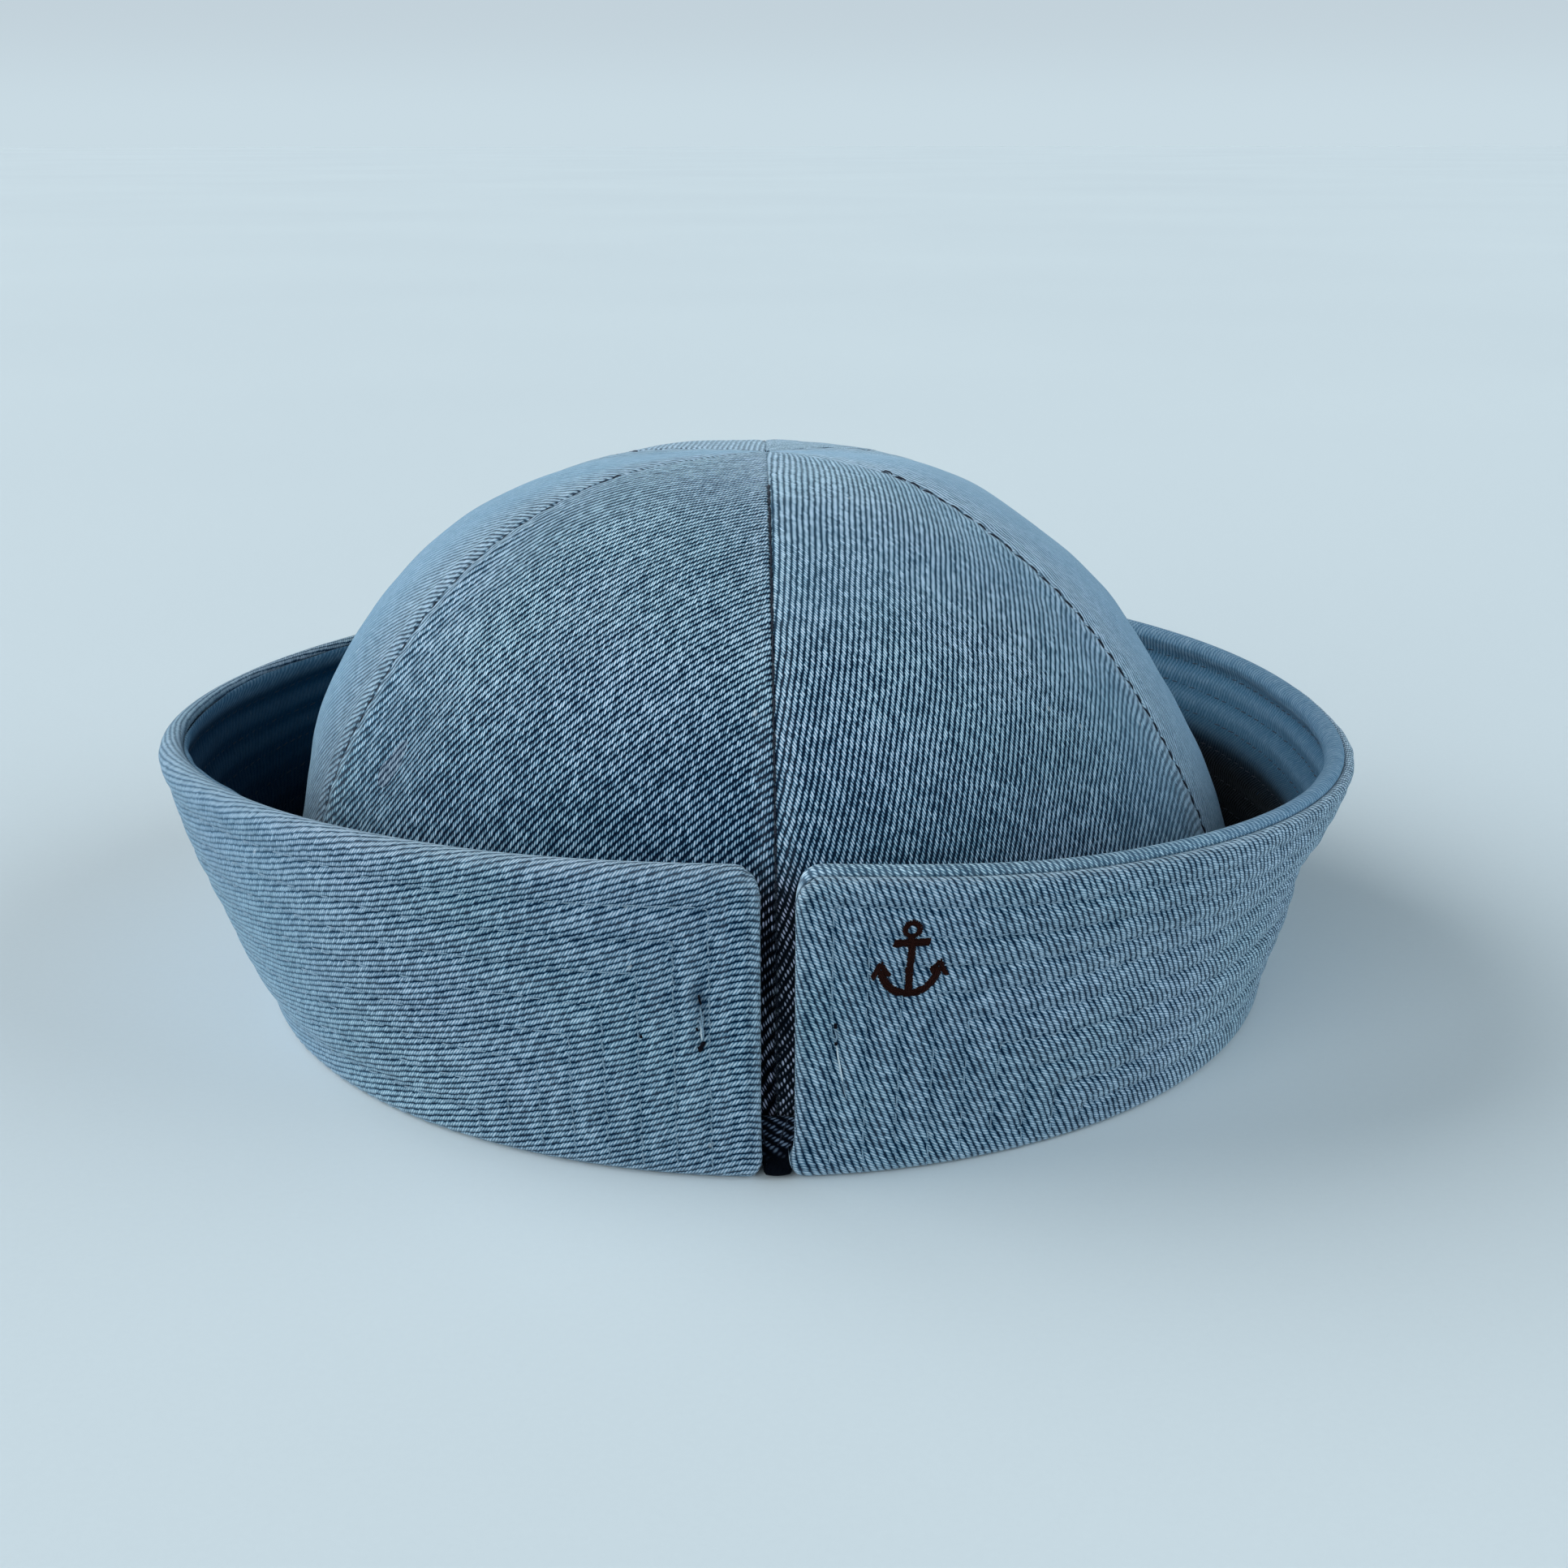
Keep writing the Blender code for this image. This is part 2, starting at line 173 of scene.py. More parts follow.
def crown_points(angle, rise, across):
    """The crown's outer face, mm."""
    share, lean = np.interp(rise, CROWN_X, CROWN_SHARE), np.interp(rise, CROWN_X, CROWN_LEAN)
    a, r = np.radians(angle), np.radians(rise)
    half = HALF_WIDTH + np.where(np.sin(a) > 0, -lean, lean)
    puff = GORE_PUFF * (0.55 - across ** 2) * smooth(rise / 14.0) * smooth((90.0 - rise) / 30.0)
    out = puff - dent_depth(angle, rise)
    slope = np.cos(r)
    return np.stack([
        MIDDLE_X + half * share * np.sin(a) + out * np.sin(a) * slope,
        MIDDLE_Y - HALF_LENGTH * share * np.cos(a) - out * np.cos(a) * slope,
        CROWN_EDGE_Z + CROWN_RISE * np.sin(r) + out * np.sin(r)], -1)


def brim_row(angle):
    return [np.interp(np.asarray(angle) % 360.0, BRIM_X, t) for t in BRIM_T]


def wall_share(angle, share):
    share = np.clip(share, 0.0, 1.05)
    left, right = (np.interp(share, WALL_X, t) for t in WALL_T)
    w = smooth(0.5 + 0.6 * np.sin(np.radians(angle)))
    return left + (right - left) * w


def wall_out(angle, share):
    stand_off, flare, _ = brim_row(angle)
    return stand_off + flare * wall_share(angle, share)


def brim_points(angle, out, z):
    a = np.radians(angle)
    return np.stack([MIDDLE_X + (HALF_WIDTH + out) * np.sin(a),
                     MIDDLE_Y - (HALF_LENGTH + out) * np.cos(a), z + 0.0 * a], -1)


def corner_drop(angle):
    off = turn(angle, 0.0)
    d = np.maximum(SPLIT_RADIUS * np.abs(np.sin(np.radians(off))) - SPLIT_HALF, 0.0)
    inside = np.minimum(d, SPLIT_CORNER)
    drop = SPLIT_CORNER - np.sqrt(SPLIT_CORNER ** 2 - (SPLIT_CORNER - inside) ** 2)
    return np.where((np.abs(off) > 90.0) | (d >= SPLIT_CORNER), 0.0, drop)


def rim_drop(angle):
    side = smooth(0.5 + turn(angle, 180.0) / 40.0)
    return 1.3 * (1.0 - side), 0.7 * side


def ripple(points, wavelength, seed, waves=14):
    """Smooth irregular waves through space, about -2 to 2."""
    rng = np.random.default_rng(seed)
    total = np.zeros(points.shape[:-1])
    for _ in range(waves):
        d = rng.normal(size=3)
        k = 2.0 * math.pi / (wavelength * rng.uniform(0.7, 1.5)) / np.linalg.norm(d)
        total += np.sin(points @ d * k + rng.uniform(0.0, 2.0 * math.pi))
    return total / math.sqrt(waves / 2.0)


def bell(x, width):
    return np.exp(-(x / width) ** 2)


def grid_normals(points):
    """Unit normals of a grid of points, columns to the right, rows upward."""
    across = np.gradient(points, axis=1)
    up = np.gradient(points, axis=0)
    n = np.cross(across, up)
    return n / np.maximum(np.linalg.norm(n, axis=-1, keepdims=True), 1e-9)


# ---- node helpers ------------------------------------------------------------
class Graph:
    """Short names for making a material's nodes."""

    def __init__(self, name):
        self.mat = bpy.data.materials.new(name)
        self.mat.use_nodes = True
        self.tree = self.mat.node_tree
        self.shader = self.tree.nodes["Principled BSDF"]

    def node(self, kind, inputs=None, **settings):
        n = self.tree.nodes.new(kind)
        for k, v in settings.items():
            setattr(n, k, v)
        for k, v in (inputs or {}).items():
            self.put(n.inputs[k], v)
        return n

    def put(self, socket, value):
        if isinstance(value, bpy.types.NodeSocket):
            self.tree.links.new(value, socket)
        elif value is not None:
            socket.default_value = value

    def math(self, op, a, b=None, c=None, clamp=False):
        n = self.node("ShaderNodeMath", operation=op, use_clamp=clamp)
        for socket, v in zip(n.inputs, (a, b, c)):
            self.put(socket, v)
        return n.outputs[0]

    def vec(self, op, a, b=None, scale=None):
        n = self.node("ShaderNodeVectorMath", operation=op)
        self.put(n.inputs[0], a)
        self.put(n.inputs[1], b)
        if scale is not None:
            self.put(n.inputs["Scale"], scale)
        return n.outputs[0]

    def xyz(self, x, y, z=0.0):
        return self.node("ShaderNodeCombineXYZ", {0: x, 1: y, 2: z}).outputs[0]

    def split(self, v):
        return self.node("ShaderNodeSeparateXYZ", {0: v}).outputs

    def noise(self, vector, scale, detail=2.0, rough=0.5, out="Fac"):
        n = self.node("ShaderNodeTexNoise", {"Vector": vector, "Scale": scale,
                                             "Detail": detail, "Roughness": rough})
        return n.outputs[out]

    def white(self, vector, out="Value"):
        return self.node("ShaderNodeTexWhiteNoise", {"Vector": vector},
                         noise_dimensions="3D").outputs[out]

    def ramp(self, fac, stops, interpolation="LINEAR"):
        n = self.node("ShaderNodeValToRGB", {"Fac": fac})
        n.color_ramp.interpolation = interpolation
        e = n.color_ramp.elements
        while len(e) < len(stops):
            e.new(0.5)
        for k, (at, colour) in enumerate(stops):
            e[k].position = at
            e[k].color = colour if len(colour) == 4 else (*colour, 1.0)
        return n.outputs[0]

    def mix(self, fac, a, b, blend="MIX"):
        n = self.node("ShaderNodeMix", data_type="RGBA", blend_type=blend)
        for name, v in (("Factor_Float", fac), ("A_Color", a), ("B_Color", b)):
            self.put(next(s for s in n.inputs if s.identifier == name), v)
        return next(s for s in n.outputs if s.identifier == "Result_Color")

    def map(self, v, a, b, c, d, clamp=True):
        n = self.node("ShaderNodeMapRange", {0: v, 1: a, 2: b, 3: c, 4: d}, clamp=clamp)
        return n.outputs[0]

    def attribute(self, name):
        return self.node("ShaderNodeAttribute", attribute_name=name).outputs["Fac"]


def srgb(r, g, b, gain=1.0):
    def lin(v):
        v /= 255.0
        return v / 12.92 if v <= 0.04045 else ((v + 0.055) / 1.055) ** 2.4
    return tuple(min(1.0, gain * lin(v)) for v in (r, g, b)) + (1.0,)


SPECULAR = 0.06
SHEEN = (0.55, 0.30, (0.62, 0.85, 1.0, 1.0))


def g_between(a, b, share=0.40):
    return tuple(p + (q - p) * share for p, q in zip(a, b))


def twill(name, light, middle, gap, seed=0.0, bump=0.20, dark=(0.14, 0.40), split=0.52, spread=1.15,
          pitch=0.60, thin=2.30, reach=(0.33, 0.455), sheen=SHEEN[0], low=0.50, gains=0.42, cool=0.4):
    """Three-up, one-down twill: raised pale lines with dark grooves between them,
    each line a row of short slanted dashes. The cloth map holds mm: x across the
    yarns, y along them."""
    g = Graph(name)
    lean = math.radians(YARN_LEAN)
    uv = g.node("ShaderNodeUVMap", uv_map="cloth").outputs[0]
    uv = g.vec("ADD", uv, (seed * 31.7, seed * 17.3, seed))
    soft = g.vec("SUBTRACT", g.noise(uv, 0.030, 1.0, 0.5, "Color"), (0.5, 0.5, 0.5))
    mild = g.vec("SUBTRACT", g.noise(uv, 0.21, 1.0, 0.5, "Color"), (0.5, 0.5, 0.5))
    fine = g.vec("SUBTRACT", g.noise(uv, 0.9, 1.0, 0.5, "Color"), (0.5, 0.5, 0.5))
    moved = g.vec("ADD", uv, g.vec("ADD", g.vec("SCALE", soft, scale=1.3), g.vec("SCALE", fine, scale=0.11)))
    moved = g.vec("ADD", moved, g.vec("SCALE", mild, scale=0.24))
    x, y, _ = g.split(moved)
    along = g.math("ADD", g.math("MULTIPLY", x, math.sin(lean)), g.math("MULTIPLY", y, math.cos(lean)))
    across = g.math("SUBTRACT", g.math("MULTIPLY", x, math.cos(lean)), g.math("MULTIPLY", y, math.sin(lean)))
    lines = g.math("DIVIDE", across, TWILL_PITCH)
    line = g.math("FLOOR", lines)
    slant = 1.0 / math.tan(math.radians(DASH_LEAN))
    dashes = g.math("DIVIDE", g.math("ADD", along, g.math("MULTIPLY", across, slant)), pitch)
    dashes = g.math("ADD", dashes, g.math("MULTIPLY", g.white(g.xyz(line, 3.1, seed)), 0.45))
    dash = g.math("FLOOR", dashes)
    cell = g.xyz(line, dash, seed + 0.37)
    tone = g.white(cell)
    odd = g.split(g.white(cell, "Color"))
    # uneven dye: dash by dash, in streaks along the yarns and lines and in soft patches
    streak = g.noise(g.xyz(g.math("MULTIPLY", dash, 0.85), g.math("MULTIPLY", y, 0.16), seed + 5.0), 1.0, 2.0, 0.6)
    slub = g.noise(g.xyz(g.math("MULTIPLY", line, 0.9), g.math("MULTIPLY", along, 0.22), seed + 9.0), 1.0, 2.0, 0.6)
    patch = g.noise(uv, 0.045, 3.0, 0.55)
    heather = g.noise(uv, 0.55, 3.0, 0.65)
    fibre = g.noise(g.xyz(g.math("MULTIPLY", dashes, 1.6), g.math("MULTIPLY", lines, 2.0), seed), 1.0, 2.0, 0.6)
    # across its line a dash swells and ends in a rounded tip; some reach into the groove
    half = g.map(odd[0], 0.0, 1.0, reach[0], reach[1])
    half = g.math("ADD", half, g.map(slub, 0.3, 0.7, -0.014, 0.014))
    half = g.math("ADD", half, g.map(heather, 0.3, 0.7, -0.012, 0.012))
    off = g.math("SUBTRACT", g.math("SUBTRACT", g.math("SUBTRACT", lines, line), 0.5),
                 g.map(odd[1], 0.0, 1.0, -0.045, 0.045))
    tip = g.math("DIVIDE", off, half)
    ends = g.math("SUBTRACT", 1.0, g.math("MULTIPLY", tip, tip), clamp=True)
    side = g.math("MULTIPLY", g.math("SUBTRACT", g.math("SUBTRACT", dashes, dash), 0.5), thin)
    side = g.math("POWER", g.math("ABSOLUTE", side), 1.7)
    sides = g.math("SUBTRACT", 1.0, g.math("MULTIPLY", side, g.math("ADD", split, g.math("MULTIPLY",
                   g.math("SUBTRACT", 1.0, ends), 0.40))), clamp=True)
    floats = g.math("MULTIPLY", g.math("POWER", ends, 0.50), g.math("POWER", sides, 0.85))
    # fading together with painted light and shade: this value lightens or darkens the weave; it darkens the cloth low
    # on the crown and inside the brim and lightens the side gores
    fade_and_shade = g.attribute("fade_and_shade")
    value = g.math("ADD", g.map(tone, 0, 1, -0.15, 0.15), g.map(streak, 0.3, 0.7, -0.05, 0.05))
    value = g.math("ADD", value, g.map(slub, 0.3, 0.7, -0.04, 0.04))
    value = g.math("ADD", value, g.map(heather, 0.3, 0.7, -0.035, 0.035))
    value = g.math("ADD", value, g.map(patch, 0.3, 0.7, -0.05, 0.05))
    value = g.math("ADD", value, g.map(fibre, 0.3, 0.7, -0.12, 0.12))
    value = g.math("MULTIPLY", value, spread)
    thick = g.math("ADD", g.math("ADD", floats, g.math("MULTIPLY", value, 0.55)), fade_and_shade)
    deeper, deep = (tuple(c * (1.0 + (k - 1.0) * cool) for c, k in zip(g_between(gap, middle, share), tint))
                    for share, tint in ((0.50 * low, (0.55, 1.25, 1.50, 1.0)), (low, (0.90, 1.12, 1.20, 1.0))))
    colour = g.ramp(thick, ((dark[0], gap), (0.5 * (dark[0] + dark[1]), deeper), (dark[1], deep), (0.64, middle),
                            (1.0, light)))
    # painted shade: deep in the split the cloth is painted near black with a few pale dashes
    slit_shadow = g.ramp(g.math("ADD", floats, g.math("MULTIPLY", value, 0.8)),
                    ((0.56, srgb(3, 3, 9)), (0.78, srgb(44, 50, 74)), (1.0, srgb(206, 216, 246))))
    colour = g.mix(g.attribute("slit_shadow"), colour, slit_shadow)
    gain = g.math("ADD", 1.0, g.math("MULTIPLY", g.math("ADD", value, fade_and_shade), gains))
    colour = g.mix(1.0, colour, g.xyz(gain, gain, gain), "MULTIPLY")
    # a faint green or violet cast in patches
    cast = g.ramp(g.noise(uv, 0.028, 2.0, 0.5), ((0.36, (0.93, 1.02, 0.985)), (0.50, (0.98, 1.0, 1.0)),
                                               (0.66, (1.01, 0.985, 1.02))))
    colour = g.mix(0.75, colour, cast, "MULTIPLY")
    calm = tuple(c * k for c, k in zip(g_between(gap, middle, 0.86), (0.97, 1.14, 1.24, 1.0)))
    colour = g.mix(g.attribute("calm"), colour, calm)
    # wear and painted light: edges that rub, and the side gores where light falls, are paler; painted shade makes what
    # lies beside a stitch or seam darker
    wear_and_light = g.math("MULTIPLY", g.attribute("wear_and_light"), g.map(heather, 0.3, 0.75, 0.35, 1.1))
    colour = g.mix(g.math("MULTIPLY", wear_and_light, 0.40, clamp=True), colour, light)
    shade = g.attribute("shade")
    colour = g.mix(g.math("MULTIPLY", shade, 0.97, clamp=True), colour, gap)
    # lint: rare pale specks and rarer dark ones
    lint = g.node("ShaderNodeTexVoronoi", {"Vector": g.vec("MULTIPLY", uv, (1.0, 0.55, 1.0)), "Scale": 0.16,
                                           "Randomness": 1.0}, feature="F1")
    spot = g.map(lint.outputs["Distance"], 0.035, 0.065, 1.0, 0.0)
    pick_one = g.split(lint.outputs["Color"])[0]
    pale = g.math("MULTIPLY", g.math("MULTIPLY", spot, g.math("GREATER_THAN", pick_one, 0.72)),
                  g.math("SUBTRACT", 1.0, shade, clamp=True))
    speck = g.math("MULTIPLY", spot, g.math("LESS_THAN", pick_one, 0.06))
    # painted shade: the cloth is painted near black where little light gets down beside the crown
    colour = g.mix(g.attribute("deep"), colour, srgb(3, 4, 6))
    colour = g.mix(g.math("MULTIPLY", pale, 0.36), colour, (0.60, 0.70, 0.76, 1.0))
    colour = g.mix(g.math("MULTIPLY", speck, 0.7), colour, gap)
    g.put(g.shader.inputs["Base Color"], colour)
    rough = g.map(g.math("ADD", floats, g.math("MULTIPLY", fibre, 0.3)), 0.0, 1.3, 0.98, 0.84)
    g.put(g.shader.inputs["Roughness"], rough)
    g.shader.inputs["Specular IOR Level"].default_value = SPECULAR
    g.shader.inputs["Sheen Weight"].default_value = sheen
    g.shader.inputs["Sheen Roughness"].default_value = SHEEN[1]
    g.shader.inputs["Sheen Tint"].default_value = SHEEN[2]
    relief = g.math("ADD", floats, g.math("MULTIPLY", fibre, 0.14))
    relief = g.math("ADD", relief, g.math("MULTIPLY", heather, 0.15))
    b = g.node("ShaderNodeBump", {"Strength": 0.9, "Distance": bump * MM, "Height": relief})
    g.put(g.shader.inputs["Normal"], b.outputs[0])
    return g.mat


def thread(name, pale, deep, fuzzy=0.2):
    """Sewing thread: two plies twisted round each other."""
    g = Graph(name)
    uv = g.node("ShaderNodeUVMap", uv_map="cloth").outputs[0]
    x, y, _ = g.split(uv)
    twist = g.math("SINE", g.math("MULTIPLY", g.math("ADD", g.math("MULTIPLY", y, 2.6), g.math("MULTIPLY", x, 2.0)), 6.2832))
    fuzz = g.noise(uv, 9.0, 2.0, 0.6)
    tone = g.math("ADD", g.map(twist, -1, 1, 0.2, 0.8), g.map(fuzz, 0.3, 0.7, -0.2, 0.2))
    g.put(g.shader.inputs["Base Color"], g.ramp(tone, ((0.1, deep), (0.85, pale))))
    g.put(g.shader.inputs["Roughness"], g.map(fuzz, 0.3, 0.7, 0.62, 0.8))
    g.shader.inputs["Specular IOR Level"].default_value = 0.3 if fuzzy else 0.05
    g.shader.inputs["Sheen Weight"].default_value = fuzzy
    g.shader.inputs["Sheen Roughness"].default_value = 0.4
    b = g.node("ShaderNodeBump", {"Strength": 0.7, "Distance": 0.06 * MM, "Height": twist})
    g.put(g.shader.inputs["Normal"], b.outputs[0])
    return g.mat


# ---- mesh helpers ------------------------------------------------------------
def make_piece(name, points, faces, uvs, materials, slots=None, attributes=None, sharp=50.0):
    """points (n,3) mm, faces as tuples or an (m,4) array, uvs (n,2) mm a point."""
    mesh = bpy.data.meshes.new(name)
    mesh.from_pydata((np.asarray(points) * MM).tolist(), [], [list(f) for f in faces])
    mesh.update()
    for m in materials:
        mesh.materials.append(m)
    if slots is not None:
        mesh.polygons.foreach_set("material_index", np.asarray(slots, np.int32))
    layer = mesh.uv_layers.new(name="cloth")
    index = np.zeros(len(mesh.loops), np.int32)
    mesh.loops.foreach_get("vertex_index", index)
    if isinstance(uvs, dict):                       # face by face, where a seam of the map crosses
        layer.data.foreach_set("uv", uvs["loops"].astype(np.float32).ravel())
    else:
        layer.data.foreach_set("uv", np.asarray(uvs)[index].astype(np.float32).ravel())
    for key, values in (attributes or {}).items():
        a = mesh.attributes.new(key, "FLOAT", "POINT")
        a.data.foreach_set("value", np.asarray(values, np.float32).ravel())
    mesh.shade_smooth()
    mesh.set_sharp_from_angle(angle=math.radians(sharp))
    mesh.update()
    obj = bpy.data.objects.new(name, mesh)
    bpy.context.scene.collection.objects.link(obj)
    return obj


def grid_faces(rows, columns, start=0, flip=False, closed=False):
    r, c = np.meshgrid(np.arange(rows - 1), np.arange(columns if closed else columns - 1), indexing="ij")
    c2 = (c + 1) % columns
    quad = np.stack([r * columns + c, r * columns + c2, (r + 1) * columns + c2, (r + 1) * columns + c], -1)
    quad = quad.reshape(-1, 4) + start
    return quad[:, ::-1] if flip else quad


def to_yarns(flat, direction):
    """Turns flat cloth coordinates so that y runs along the yarns."""
    w = math.radians(direction + YARN_LEAN)
    c, s = math.cos(w), math.sin(w)
    return np.stack([flat[..., 0] * s - flat[..., 1] * c, flat[..., 0] * c + flat[..., 1] * s], -1)


def tube(path, radius, sides=6, twist_start=0.0):
    """Closed round tube along a path of points; radius may change along it.
    Returns points, faces, map."""
    path = np.asarray(path, float)
    n = len(path)
    radius = np.broadcast_to(radius, (n,))
    tangent = np.gradient(path, axis=0)
    tangent /= np.maximum(np.linalg.norm(tangent, axis=1, keepdims=True), 1e-9)
    guide = np.array([0.0, 0.0, 1.0]) if abs(tangent[0][2]) < 0.9 else np.array([1.0, 0.0, 0.0])
    side = np.cross(tangent, guide)
    side /= np.maximum(np.linalg.norm(side, axis=1, keepdims=True), 1e-9)
    up = np.cross(side, tangent)
    a = np.linspace(0.0, 2.0 * math.pi, sides, endpoint=False)
    ring = (path[:, None] + radius[:, None, None] * (np.cos(a)[None, :, None] * side[:, None]
                                                     + np.sin(a)[None, :, None] * up[:, None]))
    points = np.concatenate([ring.reshape(-1, 3), path[:1], path[-1:]])
    faces = [tuple(f) for f in grid_faces(n, sides, flip=True, closed=True)]
    first, last = n * sides, n * sides + 1
    faces += [(first, k, (k + 1) % sides) for k in range(sides)]
    faces += [(last, (n - 1) * sides + (k + 1) % sides, (n - 1) * sides + k) for k in range(sides)]
    length = np.concatenate([[0.0], np.cumsum(np.linalg.norm(np.diff(path, axis=0), axis=1))]) + twist_start
    uv = np.stack([np.broadcast_to(np.arange(sides) / sides, (n, sides)),
                   np.broadcast_to(length[:, None], (n, sides))], -1).reshape(-1, 2)
    uv = np.concatenate([uv, [[0.5, length[0]]], [[0.5, length[-1]]]])
    return points, faces, uv


class Bundle:
    """Gathers many small closed shapes into one mesh."""

    def __init__(self):
        self.points, self.faces, self.uv, self.count = [], [], [], 0

    def add(self, points, faces, uv):
        self.points.append(points)
        self.faces += [tuple(k + self.count for k in f) for f in faces]
        self.uv.append(uv)
        self.count += len(points)

    def piece(self, name, material):
        return make_piece(name, np.concatenate(self.points), self.faces, np.concatenate(self.uv),
                          [material], sharp=80.0)


def stitches(bundle, path, normals, length=2.7, gap=0.35, radius=0.17, sink=0.10, seed=1, sides=6, askew=0.0):
    """A run of lock stitches along a path that lies on the cloth."""
    rng = np.random.default_rng(seed)
    step = np.linalg.norm(np.diff(path, axis=0), axis=1)
    along = np.concatenate([[0.0], np.cumsum(step)])
    at = 0.4
    shape = np.array([0.0, 0.10, 0.30, 0.55, 0.80, 0.93, 1.0])
    lift = np.array([-0.55, 0.25, 0.95, 1.05, 0.90, 0.20, -0.55])
    fat = np.array([0.45, 0.85, 1.0, 1.0, 1.0, 0.85, 0.45])
    while at + length < along[-1]:
        this = length * rng.uniform(0.93, 1.06)
        s = at + shape * this
        p = np.stack([np.interp(s, along, path[:, k]) for k in range(3)], -1)
        n = np.stack([np.interp(s, along, normals[:, k]) for k in range(3)], -1)
        n /= np.linalg.norm(n, axis=1, keepdims=True)
        side = np.cross(n, np.gradient(p, axis=0))
        side /= np.maximum(np.linalg.norm(side, axis=1, keepdims=True), 1e-9)
        p = p + n * (lift * radius - sink * rng.uniform(0.6, 1.5))[:, None] + side * rng.uniform(-0.05, 0.05)
        p = p + side * (np.linspace(-1.0, 1.0, len(shape)) * askew * rng.uniform(0.5, 1.4))[:, None]
        bundle.add(*tube(p, radius * fat * rng.uniform(0.93, 1.07), sides, at))
        at += this + gap


# ---- colours and materials ---------------------------------------------------
CLOTH_LIGHT = srgb(193, 212, 228)
CLOTH_MIDDLE = srgb(111, 150, 175)
CLOTH_GAP = srgb(0, 20, 42)
crown_cloth = twill("crown_twill", CLOTH_LIGHT, CLOTH_MIDDLE, CLOTH_GAP, seed=0.0, dark=(0.30, 0.53), cool=1.0)
brim_cloth = twill("brim_twill", srgb(166, 186, 202), srgb(93, 128, 152), srgb(0, 27, 50), seed=3.0,
                   split=0.50, pitch=0.60, reach=(0.345, 0.468), low=0.56)
facing_cloth = twill("facing_twill", srgb(186, 209, 226), srgb(85, 122, 146), srgb(1, 44, 70), seed=6.0, bump=0.16,
                     sheen=0.08)
back_cloth = twill("cloth_reverse", srgb(150, 172, 188), srgb(96, 118, 138), srgb(26, 40, 58), seed=9.0, bump=0.14, sheen=0.2)
band_cloth = twill("folded_band", srgb(120, 142, 168), srgb(20, 28, 46), srgb(2, 6, 14), seed=12.0, sheen=0.15)
pale_thread = thread("thread_pale", srgb(130, 161, 182), srgb(82, 113, 137))
facing_thread = thread("thread_facing", srgb(25, 42, 61), srgb(10, 22, 37), 0.05)
navy_thread = thread("thread_navy", srgb(28, 44, 66), srgb(5, 10, 22), 0.05)
bright_thread = thread("thread_bright", srgb(206, 224, 234), srgb(150, 176, 192))
black_thread = thread("thread_black", srgb(16, 16, 26), srgb(3, 3, 8), 0.0)
brown_thread = thread("thread_brown", srgb(44, 20, 16), srgb(7, 2, 2), 0.0)


# ---- the crown ---------------------------------------------------------------
def spread_columns(count, fine=(0.0, 0.006, 0.012, 0.020, 0.030, 0.042, 0.058, 0.078)):
    """-1 to 1, close together beside both seams."""
    middle = np.linspace(-1.0 + 0.10, 1.0 - 0.10, count - 2 * len(fine))
    edge = -1.0 + np.array(fine)
    return np.concatenate([edge, middle, -edge[::-1]])


